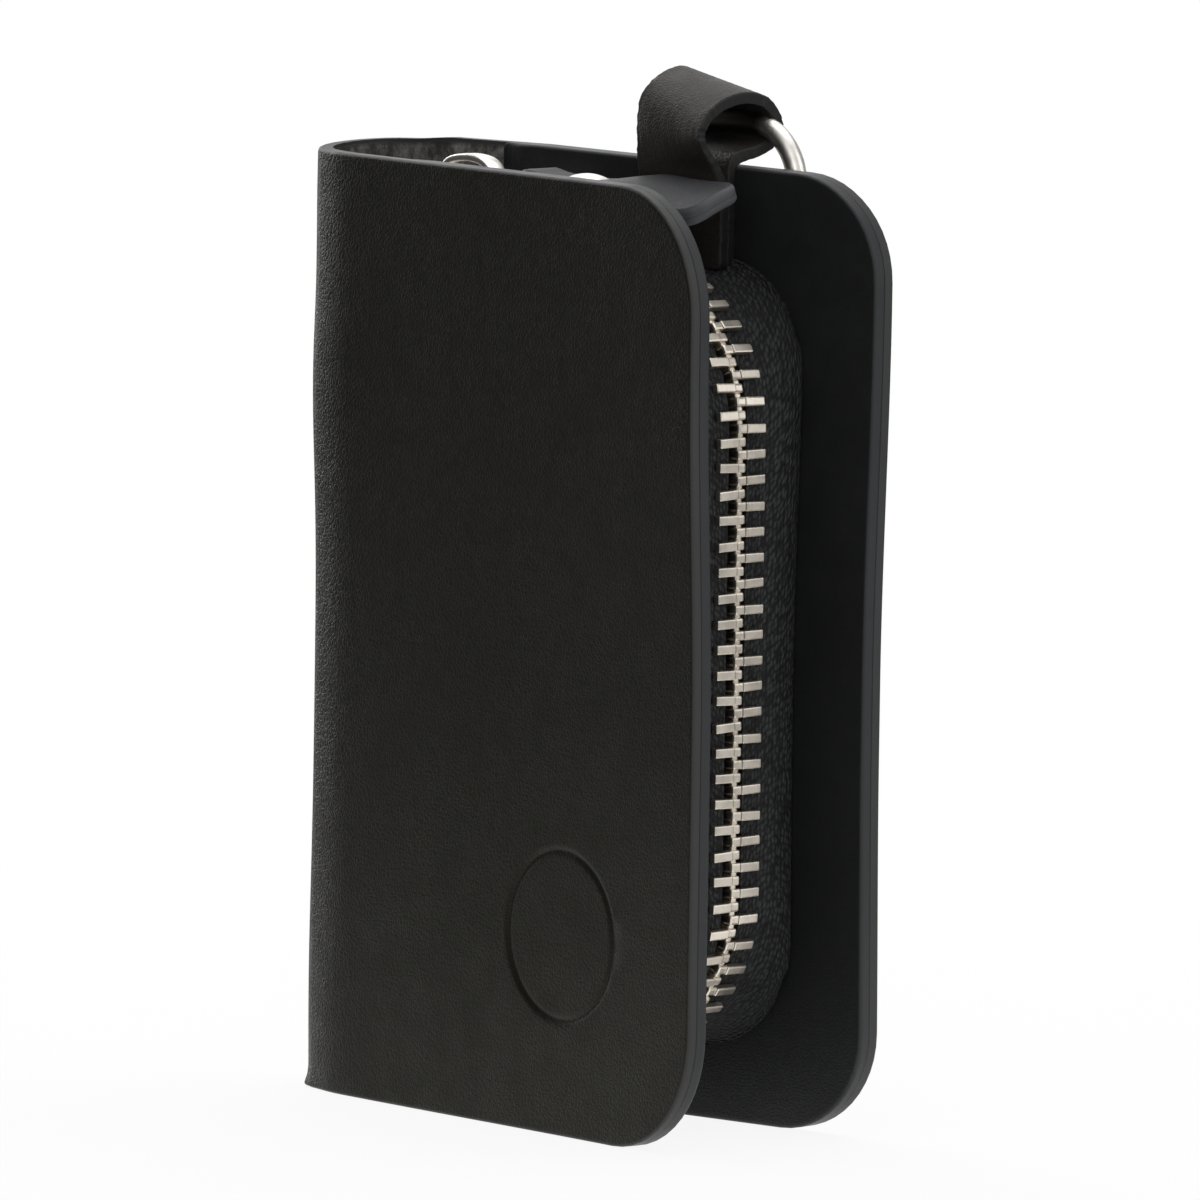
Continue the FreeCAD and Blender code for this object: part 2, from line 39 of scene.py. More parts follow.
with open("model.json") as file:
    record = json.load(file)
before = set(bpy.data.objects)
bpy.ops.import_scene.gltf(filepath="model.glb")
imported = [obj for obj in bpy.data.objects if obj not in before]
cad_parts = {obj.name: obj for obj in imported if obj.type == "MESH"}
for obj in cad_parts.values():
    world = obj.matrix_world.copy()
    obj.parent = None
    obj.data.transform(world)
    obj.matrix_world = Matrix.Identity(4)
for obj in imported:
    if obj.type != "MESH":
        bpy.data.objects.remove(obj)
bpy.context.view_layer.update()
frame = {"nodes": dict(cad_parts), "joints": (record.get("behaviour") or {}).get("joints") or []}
joints = {joint["name"]: joint for joint in frame["joints"]}

MM = 0.001
SPINE = np.array(joints["cover_hinge"]["pos_m"])
LEAN = math.atan2(joints["ring_swing"]["axis"][1], joints["ring_swing"]["axis"][0])
LEAN_SIN, LEAN_COS = math.sin(LEAN), math.cos(LEAN)

# Cover and lining
COVER_HEIGHT = 100.0
PANEL_LENGTH = 64.0
COVER_LEATHER = 1.6
LINING_LEATHER = 1.4
PANEL_THICKNESS = COVER_LEATHER + LINING_LEATHER
LINING_START = 15.0
LINING_EDGE = 12.8
LINING_SKIVED = 0.3
LINING_SKIVED_SPAN = (LINING_EDGE, LINING_EDGE + 4)
LINING_BARE_SPAN = (LINING_EDGE + 1.5, LINING_EDGE + 3)
FREE_CORNER = 13.0
BACK_FREE_CORNER = 10.8
SQUARE_CORNER = 0.8
SPINE_RADIUS = 6.5
SPINE_ARC = SPINE_RADIUS * (math.pi / 2 - LEAN)
FOLD_EASE_START = 1.42
FOLD_EASE_END = 4.5
FOLD_EASE_FADE = (6, 50)
PANEL_START_X = SPINE_RADIUS * (1 - LEAN_SIN)
PANEL_START_Y = SPINE_RADIUS * LEAN_COS
LIFT_START = 20
FRONT_TOP_LIFT = 0.37
BACK_FOOT_LIFT = (0.6, 0.3)
BACK_FOOT_PLACES = (20, 60)
BACK_TOP_LIFT = (1.2, 1.65, 1.65, 0.6)
BACK_TOP_PLACES = (0.0, 5.0, 18.0, 60.0)
PAINTED_ROUNDING = 0.42
PAINTED_TURN = (0.3, 0.8)
PAINT_OVERLAP = 0.45
FRONT_EDGE_SKIVING = 0.5
GLUED_EDGE = 0.0

# Meshes of the sheets: steps, close rows beside the edges, scale of the flat map, and the turn from which
# an edge is shaded sharp
COLUMN_STEP, ROW_STEP = 1.6, 2.0
EDGE_ROWS = (0.35, 0.9, 1.8)
NARROW_EDGE_ROWS = (0.2, 0.5)
MAP_SCALE = 0.1
SHARP_TURN = math.radians(55)

# How far each panel leans out at its free edge, and between which heights that grows
FRONT_FLARE = 0.28
FRONT_TOP_FLARE = 1.0
FRONT_TOP_FLARE_HEIGHTS = (45, 82)
BACK_FLARE = 0.30
BACK_TOP_FLARE = 0.85
BACK_TOP_FLARE_HEIGHTS = (48, 88)
BACK_FOOT_FLARE = 0.4
BACK_FOOT_FLARE_HEIGHTS = (5, 40)

# Swellings of the worn spine, with the middle and the width of their heights and places
SPINE_SWELL_PLACE = (-4, 9)
UPPER_SWELL = 0.62
UPPER_SWELL_HEIGHT = (76, 13)
LOWER_SWELL = 0.25
LOWER_SWELL_HEIGHT = (12, 14)
TOP_SWELL = 0.35
TOP_SWELL_SPAN = (82, 97)
FOOT_EAR = 0.5
FOOT_EAR_HEIGHT = (0, 1.1)
FOOT_EAR_PLACE = (-5.5, 2.0)

# Plain ring pressed into the front panel
MARK_ALONG, MARK_HEIGHT = 41.9, 21.1
MARK_RADIUS = 9.2
MARK_WIDTH = 0.6
MARK_DEPTH = 0.35
MARK_FLOOR = 0.25
MARK_MESH = 0.22

# Zip
CHAIN_EDGE_INSET = 8.1
CHAIN_CORNER_DROP = 25.5
CHAIN_CORNER = 15.5
CHAIN_SPLAY = math.radians(8)
SEAM_EDGE_INSET = 9.7
SEAM_CORNER_DROP = 19.5
SEAM_CORNER = 11.0
SEAM_SPLAY = math.radians(6)
TAPE = 0.7
TAPE_HALF_GAP = 1.3
TAPE_FLAT = 4.2
TAPE_FREE_START = 6.0
TAPE_END_WIDENING = 0.4
TAPE_END_LAP = 0.5
TOOTH_PITCH = 2.7
TOOTH_PLAY = math.radians(2.5)
STOP_LENGTH = 1.5
SLIDER_OFFSET = 14.3
SLIDER_LENGTH = 11.0
CHAIN_REACH = PANEL_START_X + PANEL_LENGTH * LEAN_COS - CHAIN_EDGE_INSET
CHAIN_HALF_RUN = COVER_HEIGHT / 2 - CHAIN_CORNER_DROP
SEAM_REACH = PANEL_LENGTH - SEAM_EDGE_INSET
SEAM_HALF_RUN = COVER_HEIGHT / 2 - SEAM_CORNER_DROP
SLIDER_X = PANEL_START_X + SLIDER_OFFSET
TAPE_START_X = PANEL_START_X + TAPE_FREE_START
GUSSET_START_X = PANEL_START_X + LINING_START * LEAN_COS + PANEL_THICKNESS * LEAN_SIN

# A tooth's two legs over the tape, its head and its nib: low corner, high corner and chamfer of each
TOOTH_BOXES = (
    ((-0.5, 0.55, -1.2), (0.5, 3.3, -0.38), 0.16),
    ((-0.5, 0.55, 0.38), (0.5, 3.3, 1.2), 0.16),
    ((-0.52, -0.62, -1.06), (0.52, 0.8, 1.06), 0.26),
    ((-1.0, -0.5, -0.75), (0.2, 0.4, 0.75), 0.26),
)

# Slider crown
CROWN_FOOT = 2.4
CROWN_HEIGHT = 4.75
CROWN_LENGTH = 8.8
CROWN_STRAP = 0.85
CROWN_WIDTH = 2.4

# Pull tab
TAB_LENGTH = 26.8
TAB_LEATHER = 1.0
TAB_WIDTH = 8.2
TAB_NECK_WIDTH = 5.0
TAB_NECK_LENGTH = 4.1
TAB_FOLD_RADIUS = 1.78
TAB_END_CORNER = 2.6
TAB_EDGE_ROUNDING = 0.55
TAB_FOLD_TURN = (math.radians(68), math.radians(292))
TAB_TOP_PLACES = (16.0, 7.0)
TAB_NECK_RISE = 0.02
TAB_NECK_SPAN = (1.5, 5.0)
TAB_DROOP = math.radians(0.4)
TAB_ROLL = math.radians(21)
TAB_ROLL_START = 8.0
TAB_CUP = 0.35
TAB_CUP_SPAN = (8, 20)
TAB_ARCH = 0.85
TAB_ARCH_PLACE = (15.0, 5.0)

# Hang loop
STRAP_START = 34.5
STRAP_WIDTH = 10.7
STRAP_LEATHER = 1.2
STRAP_FOOT = 90.2
STRAP_ROUNDINGS = (0.22, 0.15)
STRAP_SKEW = 2.9
STRAP_SKEW_HEIGHTS = (99.5, 104.5)
STRAP_SKEW_DEPTHS = (-5, 4)
STRAP_TILT = 2.2
STRAP_TILT_HEIGHTS = (102.5, 107.5)
STRAP_CREASE = 0.05
STRAP_CREASE_HEIGHTS = (99, 103)
STRAP_RAGGED = 0.08
RING_WIRE = 2.2
RING_BAR_HALF = 2.5
RING_SHOULDER = 6.2
RING_SAG = 0.45
# Span across the strap where the ring's bar inside the hang loop gets painted shade
RING_SHADE_SPAN = (STRAP_WIDTH / 2 - 1.6, STRAP_WIDTH / 2 - 0.2)

# How far the sharp edges of metal pieces are taken off, and the turns from which an edge counts
SLIDER_EASING = 0.25
STOP_EASING = 0.15
PLATE_EASING = 0.12
WELD_DISTANCE = 0.001
FLAT_TURN, METAL_SHARP_TURN, EASED_TURN = (math.radians(turn) for turn in (2, 35, 40))


# Helpers for places and meshes

def smooth_step(low, high, value):
    share = np.clip((value - low) / (high - low), 0, 1)
    return share * share * (3 - 2 * share)


def hump(value, middle, width):
    return np.exp(-((value - middle) / width) ** 2)


def flare(side, along, height):
    """How far the panels stand further apart than flat ones, most at the top of their free edges."""
    front = FRONT_FLARE + FRONT_TOP_FLARE * smooth_step(*FRONT_TOP_FLARE_HEIGHTS, height)
    back = BACK_FLARE + BACK_TOP_FLARE * smooth_step(*BACK_TOP_FLARE_HEIGHTS, height)
    back = back + BACK_FOOT_FLARE * (1 - smooth_step(*BACK_FOOT_FLARE_HEIGHTS, height))
    return np.where(side < 0, -front, back) * np.maximum(along, 0) / PANEL_LENGTH


def panel_point(side, along, depth, height):
    """Point on a panel: along it from the spine, inwards from the cover's outer face, and up."""
    x = PANEL_START_X + along * LEAN_COS + depth * LEAN_SIN
    y = side * (PANEL_START_Y + along * LEAN_SIN - depth * LEAN_COS) + flare(side, along, height)
    return np.stack(np.broadcast_arrays(x, y, height), axis=-1)


def fold_ease(from_spine):
    """How far the front panel stands out beside the fold, as it eases into it."""
    slope = FOLD_EASE_START / SPINE_RADIUS
    before = np.clip(from_spine + FOLD_EASE_START, 0, FOLD_EASE_START)
    after = np.clip(from_spine, 0, FOLD_EASE_END)
    stand = before ** 2 / (2 * SPINE_RADIUS) + slope * (after - after ** 2 / (2 * FOLD_EASE_END))
    return stand * (1 - smooth_step(*FOLD_EASE_FADE, from_spine))


def cover_lift(along, height):
    """How much higher a place of the cover stands than on an even one: the back is taller and slopes."""
    rise = smooth_step(LIFT_START, COVER_HEIGHT, height)
    from_spine = along - SPINE_ARC
    foot = np.interp(from_spine, BACK_FOOT_PLACES, BACK_FOOT_LIFT)
    top = np.interp(from_spine, BACK_TOP_PLACES, BACK_TOP_LIFT)
    back = foot + (top - foot) * rise
    front = FRONT_TOP_LIFT * rise
    return front + (back - front) * smooth_step(-SPINE_ARC, SPINE_ARC, along)


def cover_point(along, height, depth):
    """Point of the folded cover. along goes on its outer face from the spine line, the front under zero."""
    turn = np.clip(along, -SPINE_ARC, SPINE_ARC) / SPINE_RADIUS
    straight = np.maximum(np.abs(along) - SPINE_ARC, 0)
    side = np.sign(along)
    out_x, out_y = -np.cos(turn), np.sin(turn)
    swell = UPPER_SWELL * hump(height, *UPPER_SWELL_HEIGHT)
    swell = swell + TOP_SWELL * smooth_step(*TOP_SWELL_SPAN, height)
    swell = swell + LOWER_SWELL * hump(height, *LOWER_SWELL_HEIGHT)
    ear = FOOT_EAR * hump(height, *FOOT_EAR_HEIGHT) * hump(along, *FOOT_EAR_PLACE)
    outer_share = np.clip(1 - depth / COVER_LEATHER, 0, 1) * (side < 0)
    skived = FRONT_EDGE_SKIVING * straight / PANEL_LENGTH * outer_share
    push = swell * hump(along, *SPINE_SWELL_PLACE) + ear + fold_ease(-along - SPINE_ARC) - depth - skived
    x = SPINE_RADIUS * (1 - np.cos(turn)) + straight * LEAN_COS + out_x * push
    y = SPINE_RADIUS * np.sin(turn) + side * straight * LEAN_SIN + out_y * push
    y = y + flare(side, straight, height)
    return np.stack(np.broadcast_arrays(x, y, height + cover_lift(along, height)), axis=-1)


def new_object(name, data):
    made = bpy.data.objects.new(name, data)
    bpy.context.scene.collection.objects.link(made)
    return made


def make_piece(name, points, faces, material, attributes=None, flat=None):
    """Mesh object from millimetre points, with outward normals, smooth faces and a flat map."""
    mesh = bpy.data.meshes.new(name)
    mesh.from_pydata((SPINE + np.asarray(points) * MM).tolist(), [], faces)
    for label, values in (attributes or {}).items():
        layer = mesh.attributes.new(label, "FLOAT", "POINT")
        layer.data.foreach_set("value", np.asarray(values, np.float32))
    if flat is not None:
        corners = np.zeros(len(mesh.loops), np.int32)
        mesh.loops.foreach_get("vertex_index", corners)
        layer = mesh.uv_layers.new(name="flat")
        layer.data.foreach_set("uv", np.asarray(flat, np.float32)[corners].ravel())
    shaped = bmesh.new()
    shaped.from_mesh(mesh)
    bmesh.ops.recalc_face_normals(shaped, faces=shaped.faces)
    shaped.to_mesh(mesh)
    shaped.free()
    mesh.polygons.foreach_set("use_smooth", [True] * len(mesh.polygons))
    mesh.set_sharp_from_angle(angle=SHARP_TURN)
    mesh.materials.append(material)
    return new_object(name, mesh)


def finish_piece(piece, body, slot, *nodes):
    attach(piece, body)
    if nodes:
        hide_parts(*nodes)
    return piece


def sheet_columns(ends, columns, inset, corner_steps):
    """Places along a sheet and how far its long sides stand in there, for an outline drawn in by inset."""
    (start, start_radius), (end, end_radius) = ends
    turns = np.linspace(0, math.pi / 2, corner_steps + 1)
    first = start + start_radius - (start_radius - inset) * np.sin(turns[::-1])
    first_drop = start_radius - (start_radius - inset) * np.cos(turns[::-1])
    last = end - end_radius + (end_radius - inset) * np.sin(turns)
    last_drop = end_radius - (end_radius - inset) * np.cos(turns)
    along = np.concatenate([first, columns, last])
    drop = np.concatenate([first_drop, np.full(len(columns), inset), last_drop])
    return along, drop


def rim_rounding(radius):
    """Steps of a rim from a sheet's face to its edge: how far in, how deep, and how much paint is there."""
    if radius == 0:
        return [(0.0, 0.0, 0.0)]
    steps = []
    for turn in np.linspace(0, math.pi / 2, 6):
        painted = float(smooth_step(*PAINTED_TURN, turn))
        steps.append((radius * (1 - math.sin(turn)), radius * (1 - math.cos(turn)), painted))
    return steps


def leather_sheet(name, ends, span, thickness, roundings, columns, rows, place, material,
                  narrowing=None, corner_steps=12, extra=None):
    """Closed sheet with rounded rims. place(along, across, depth) gives its points, depth 0 outside."""
    outer, inner = (rim_rounding(rounding) for rounding in roundings)
    slack = 0.15 * (thickness - sum(roundings))
    layers = outer + [(0.0, roundings[0] + slack, 1.0), (0.0, thickness - roundings[1] - slack, 1.0)]
    layers += [(inset, thickness - depth, paint) for inset, depth, paint in inner[::-1]]

    def grid(inset):
        along, drop = sheet_columns(ends, columns, inset, corner_steps)
        if narrowing is not None:
            drop = drop + narrowing(along)
        low, high = span[0] + drop, span[1] - drop
        across = low[:, None] + (high - low)[:, None] * rows[None, :]
        return np.repeat(along[:, None], len(rows), axis=1), across

    wide, tall = len(columns) + 2 * (corner_steps + 1), len(rows)
    number = np.arange(wide * tall).reshape(wide, tall)
    border = np.concatenate([number[:, 0], number[-1, 1:], number[-2::-1, -1], number[0, -2:0:-1]])
    points, flat, rim, inside, loops = [], [], [], [], []
    for level, (inset, depth, paint) in enumerate(layers):
        along, across = (values.ravel() for values in grid(inset))
        is_face = level in (0, len(layers) - 1)
        picked = np.arange(wide * tall) if is_face else border
        loops.append(len(rim) + (border if is_face else np.arange(len(border))))
        points.append(place(along[picked], across[picked], np.full(len(picked), depth)))
        flat += np.stack([along[picked], across[picked]], axis=-1).tolist()
        rim += [paint] * len(picked)
        inside += [depth / thickness] * len(picked)
    quads = np.stack([number[:-1, :-1], number[1:, :-1], number[1:, 1:], number[:-1, 1:]], axis=-1)
    quads = quads.reshape(-1, 4)
    faces = quads.tolist() + (quads[:, ::-1] + len(rim) - wide * tall).tolist()
    for one, other in zip(loops[:-1], loops[1:]):
        faces += np.stack([one, np.roll(one, -1), np.roll(other, -1), other], axis=-1).tolist()
    attributes = {"rim": np.array(rim)}
    points = np.concatenate(points)
    if extra is not None:
        marks = extra(np.array(flat), np.array(inside))
        attributes["rim"] = np.maximum(attributes["rim"], marks.pop("painted", 0.0))
        attributes.update(marks)
    return make_piece(name, points, faces, material, attributes, np.array(flat) * MAP_SCALE)


def places(low, high, step, close, close_step):
    """Even places from low to high, nearer together inside the close span."""
    near, far = max(low, close[0]), min(high, close[1])
    parts = []
    for start, end, gap in ((low, near, step), (near, far, close_step), (far, high, step)):
        parts.append(np.linspace(start, end, max(2, round((end - start) / gap) + 1)))
    return np.unique(np.concatenate(parts))


def edge_rows(length, step, near=EDGE_ROWS):
    """Shares across a sheet with close rows beside its two sides."""
    close = np.array([0.0, *near])
    count = max(2, int((length - 2 * close[-1]) / step))
    middle = np.linspace(close[-1], length - close[-1], count)
    return np.concatenate([close[:-1], middle, (length - close[:-1])[::-1]]) / length


def loft(name, rings, material, attributes=None, flat=None):
    """Closed solid through rings of the same number of points."""
    rings = np.asarray(rings)
    count, around = rings.shape[:2]
    number = np.arange(count * around).reshape(count, around)
    turned = np.roll(number, -1, axis=1)
    sides = np.stack([number[:-1], turned[:-1], turned[1:], number[1:]], axis=-1).reshape(-1, 4)
    faces = sides.tolist() + [number[0].tolist(), number[-1, ::-1].tolist()]
    return make_piece(name, rings.reshape(-1, 3), faces, material, attributes, flat)


def smooth_line(points, steps):
    """Points of a smooth line through the given ones."""
    knots = np.asarray(points, float)
    padded = np.concatenate([2 * knots[:1] - knots[1:2], knots, 2 * knots[-1:] - knots[-2:-1]])
    share = np.linspace(0, 1, steps, endpoint=False)[:, None]
    spans = []
    for a, b, c, d in zip(padded[:-3], padded[1:-2], padded[2:-1], padded[3:]):
        spans.append(
            b + 0.5 * share * (c - a + share * (2 * a - 5 * b + 4 * c - d + share * (3 * (b - c) + d - a)))
        )
    return np.concatenate(spans + [knots[-1:]])


class Strip:
    """A line in a plane that a strip of leather follows, with its outward side to the left of the line."""

    def __init__(self, points):
        self.points = points
        steps = np.linalg.norm(np.diff(points, axis=0), axis=1)
        self.travel = np.concatenate([[0], np.cumsum(steps)])
        self.length = self.travel[-1]
        heading = np.gradient(points, self.travel, axis=0)
        heading /= np.linalg.norm(heading, axis=1)[:, None]
        self.outward = np.stack([-heading[:, 1], heading[:, 0]], axis=-1)

    def at(self, along, depth):
        first = [np.interp(along, self.travel, self.points[:, i]) for i in (0, 1)]
        out = [np.interp(along, self.travel, self.outward[:, i]) for i in (0, 1)]
        return first[0] - out[0] * depth, first[1] - out[1] * depth


# Node trees

class Value:
    """A socket of a node tree. Operators on it add Math nodes."""

    def __init__(self, paint, socket):
        self.paint = paint
        self.socket = socket

    def _maths(self, operation, first, second):
        return self.paint.node("ShaderNodeMath", {"operation": operation}, {0: first, 1: second})

    def __add__(self, other):
        return self._maths("ADD", self, other)

    def __sub__(self, other):
        return self._maths("SUBTRACT", self, other)

    def __rsub__(self, other):
        return self._maths("SUBTRACT", other, self)

    def __mul__(self, other):
        return self._maths("MULTIPLY", self, other)

    __radd__ = __add__
    __rmul__ = __mul__


class Paint:
    """A node tree that is written as expressions."""

    def __init__(self, tree):
        self.tree = tree
        tree.nodes.clear()

    def node(self, kind, settings=None, inputs=None, output=0):
        made = self.tree.nodes.new(kind)
        for key, value in (settings or {}).items():
            setattr(made, key, value)
        for key, value in (inputs or {}).items():
            if isinstance(value, Value):
                self.tree.links.new(value.socket, made.inputs[key])
            else:
                made.inputs[key].default_value = value
        return Value(self, made.outputs[output]) if len(made.outputs) else made

    def mix(self, share, first, second):
        return self.node("ShaderNodeMix", {"data_type": "RGBA"}, {0: share, 6: first, 7: second}, 2)

    def place(self, scale=(1, 1, 1), source="Object"):
        where = self.node("ShaderNodeTexCoord", output=source)
        return self.node("ShaderNodeMapping", {}, {"Vector": where, "Scale": scale})

    def noise(self, vector, scale, detail=3.0, roughness=0.55):
        return self.node(
            "ShaderNodeTexNoise", {},
            {"Vector": vector, "Scale": scale, "Detail": detail, "Roughness": roughness},
        )

    def steps(self, value, low, high, to_low=0.0, to_high=1.0):
        return self.node(
            "ShaderNodeMapRange", {"interpolation_type": "SMOOTHSTEP"},
            {"Value": value, "From Min": low, "From Max": high, "To Min": to_low, "To Max": to_high},
        )

    def attribute(self, name):
        return self.node("ShaderNodeAttribute", {"attribute_name": name}, output=2)

    def bump(self, height, distance):
        return self.node("ShaderNodeBump", {}, {"Height": height, "Distance": distance, "Strength": 1.0})

    def surface(self, sockets):
        shader = self.node("ShaderNodeBsdfPrincipled", {}, sockets)
        self.node("ShaderNodeOutputMaterial", {}, {"Surface": shader})


def new_paint(name):
    material = bpy.data.materials.new(name)
    material.use_nodes = True
    return material, Paint(material.node_tree)


WHITE = (1.0, 1.0, 1.0)
WARM = (1.0, 0.97, 0.92)
COOL = (0.95, 0.99, 1.04)


def grey(level, tint=WHITE):
    return (level * tint[0], level * tint[1], level * tint[2], 1.0)


def leather(name, tone, tint, grain, grain_depth, rim_tone,
            flesh=0.0, gloss=0.46, shine=0.25, sheen_tint=WHITE):
    """Dyed leather: pebbled grain, cloudy dye, painted rims, and a rough flesh side where asked."""
    material, paint = new_paint(name)
    where = paint.place()
    bend = paint.noise(where, 260.0, 2.0)
    sway = paint.node("ShaderNodeTexNoise", {}, {"Vector": where, "Scale": 700.0}, 1)
    shifted = paint.node(
        "ShaderNodeVectorMath", {"operation": "MULTIPLY_ADD"}, {0: sway, 1: (0.0006,) * 3, 2: where}
    )
    cells = paint.node(
        "ShaderNodeTexVoronoi", {"feature": "DISTANCE_TO_EDGE"},
        {"Vector": shifted, "Scale": 1 / (grain * MM)},
    )
    pebbles = paint.steps(cells, 0.0, 0.25)
    splits = paint.node(
        "ShaderNodeTexVoronoi", {"feature": "DISTANCE_TO_EDGE"},
        {"Vector": paint.place((1.0, 1.0, 0.35)), "Scale": 1 / (1.6 * grain * MM)},
    )
    cracks = 1 - paint.steps(splits, 0.0, 0.09)
    fine = paint.noise(where, 5200.0, 2.0)
    clouds = paint.noise(where, 60.0, 4.0)
    rim = paint.attribute("rim") * (1 - paint.attribute("bare"))
    creased = paint.attribute("creased")
    worn = paint.steps(bend + clouds, 0.75, 1.25)
    skin = paint.mix(worn, grey(tone * 0.85, tint), grey(tone * 1.15, tint))
    skin = paint.mix((1 - pebbles) * (0.15 + 0.4 * creased), skin, grey(tone * 0.35, tint))
    skin = paint.mix(cracks * creased * 0.8, skin, grey(tone * 0.2, tint))
    rim_colour = paint.mix(clouds, grey(rim_tone * 0.8, COOL), grey(rim_tone * 1.2, COOL))
    colour = paint.mix(rim, skin, rim_colour)
    rough = gloss - 0.08 * worn + 0.10 * fine
    height = (pebbles * 0.6 + fine * 0.3) * (1 + 2.0 * creased) - cracks * creased * 1.5
    height = height * (1 - 0.9 * rim) + bend * 0.8
    if flesh:
        raw = paint.attribute("flesh")
        fibres = paint.noise(paint.place((1.0, 1.0, 0.6)), 420.0, 8.0, 0.72)
        scuffed = paint.steps(fibres, 0.38, 0.68)
        fluff = paint.mix(scuffed, grey(flesh * 0.3, WARM), grey(flesh * 1.7, WARM))
        colour = paint.mix(raw, colour, fluff)
        height = height * (1 - raw) + raw * fibres * 8.0
        rough = rough * (1 - raw) + raw * 0.85
    paint.surface({
        "Base Color": colour,
        "Roughness": rough,
        "Specular IOR Level": shine,
        "Specular Tint": grey(1.0, sheen_tint),
        "Normal": paint.bump(height, grain_depth * MM),
    })
    return material


def woven_tape():
    """Black zip tape, knitted: rounded stitches in slanting rows with painted highlights on their tops,
    uneven as the yarn is.
    """
    material, paint = new_paint("woven_tape")
    stitch_length, stitch_width, slope = 0.075, 0.048, 0.55
    flat = paint.place(source="UV")
    along = paint.node("ShaderNodeSeparateXYZ", {}, {0: flat}, 0)
    across = paint.node("ShaderNodeSeparateXYZ", {}, {0: flat}, 1)
    slanted = paint.node(
        "ShaderNodeCombineXYZ", {},
        {0: (along + across * slope) * (1 / stitch_length), 1: across * (1 / stitch_width), 2: 0.0},
    )
    stitches = paint.node(
        "ShaderNodeTexVoronoi", {"feature": "F1"}, {"Vector": slanted, "Scale": 1.0, "Randomness": 0.55}
    )
    yarn = 1 - paint.steps(stitches, 0.1, 0.75)
    lint = paint.noise(paint.place(), 2600.0, 4.0)
    wear = paint.noise(paint.place(), 240.0, 3.0)
    height = yarn + lint * 0.5
    # Stitch tops are painted lighter as painted highlights; lint and wear add real fading on top
    yarn_highlight_and_wear = paint.steps(yarn + lint * 0.6 + wear * 0.4, 0.35, 1.6)
    colour = paint.mix(yarn_highlight_and_wear, grey(0.004), grey(0.045, COOL))
    paint.surface({
        "Base Color": colour,
        "Roughness": 0.62 + 0.25 * lint,
        "Specular IOR Level": 0.3,
        "Normal": paint.bump(height, 0.22 * MM),
    })
    return material


def nickel(name, tone, rough, tint=(1.0, 0.965, 0.9), brushing=0.0):
    """Plated metal with a faint mottle, fine scratches and patches, darkened with painted shade where a
    piece marks it as shaded.
    """
    material, paint = new_paint(name)
    where = paint.place()
    patches = paint.noise(where, 420.0, 4.0)
    scratches = paint.noise(paint.place((1.0, 1.0, 0.12)), 4200.0, 2.0)
    colour = paint.mix(paint.steps(patches, 0.3, 0.7), grey(tone * 0.86, tint), grey(tone * 1.06, tint))
    # Painted shade: the colour goes dark where a piece marks it, as on the ring's bar inside the hang loop
    colour = paint.mix(paint.attribute("loop_shade"), colour, grey(0.14, tint))
    paint.surface({
        "Base Color": colour,
        "Metallic": 1.0,
        "Roughness": rough + 0.16 * (patches - 0.5) + brushing * (scratches - 0.5),
        "Normal": paint.bump(scratches * 0.6 + patches * 0.4, 0.02 * MM),
    })
    return material


cover_finish = leather(
    "cover_leather", tone=0.0065, tint=(1.0, 0.97, 0.8), grain=0.5, grain_depth=0.035, rim_tone=0.048,
    flesh=0.16, shine=0.2, sheen_tint=(1.0, 0.96, 0.74),
)
lining_finish = leather(
    "lining_leather", tone=0.015, tint=COOL, grain=0.4, grain_depth=0.02, rim_tone=0.036
)
# The tab's edge paint is its own light colour, made lighter still as a painted highlight along the edge
tab_finish = leather(
    "tab_leather", tone=0.028, tint=(0.95, 0.98, 1.08), grain=0.4, grain_depth=0.03, rim_tone=0.075
)
strap_finish = leather(
    "strap_leather", tone=0.032, tint=(1.0, 0.9, 0.83), grain=0.42, grain_depth=0.06, rim_tone=0.016,
    gloss=0.5, sheen_tint=(1.0, 0.94, 0.9),
)
tape_finish = woven_tape()
teeth_finish = nickel("teeth_metal", tone=0.8, rough=0.34, tint=(1.0, 0.92, 0.8))
slider_finish = nickel("slider_metal", tone=0.85, rough=0.3)
rivet_finish = nickel("rivet_metal", tone=0.85, rough=0.3)
ring_finish = nickel("ring_metal", tone=0.9, rough=0.36, brushing=0.2)
hook_finish = nickel("hook_metal", tone=0.72, rough=0.2, tint=(1.0, 0.98, 0.95))


# Cover and linings

def mark_dent(along, height):
    """How deep the plain ring is pressed in, at a place on the front panel."""
    away = np.hypot(along - MARK_ALONG, height - MARK_HEIGHT)
    groove = MARK_DEPTH * hump(away, MARK_RADIUS - MARK_WIDTH / 2, MARK_WIDTH * 0.5)
    return groove + MARK_FLOOR * MARK_DEPTH * (1 - smooth_step(MARK_RADIUS - 1, MARK_RADIUS, away))


def cover_marks(flat, inside):
    """Where the cover shows its rough flesh side and where its fold has creased the grain."""
    away = np.abs(flat[:, 0])
    near_spine = 1 - smooth_step(SPINE_ARC + LINING_START - 1, SPINE_ARC + LINING_START + 1, away)
    raw = near_spine * (inside > 0.9)
    below_top = COVER_HEIGHT - flat[:, 1]
    painted = raw * (1 - smooth_step(PAINT_OVERLAP, 2 * PAINT_OVERLAP, below_top))
    creased = hump(flat[:, 0], 0.0, SPINE_ARC)
    return {"flesh": raw * (1 - painted), "painted": painted, "creased": creased}


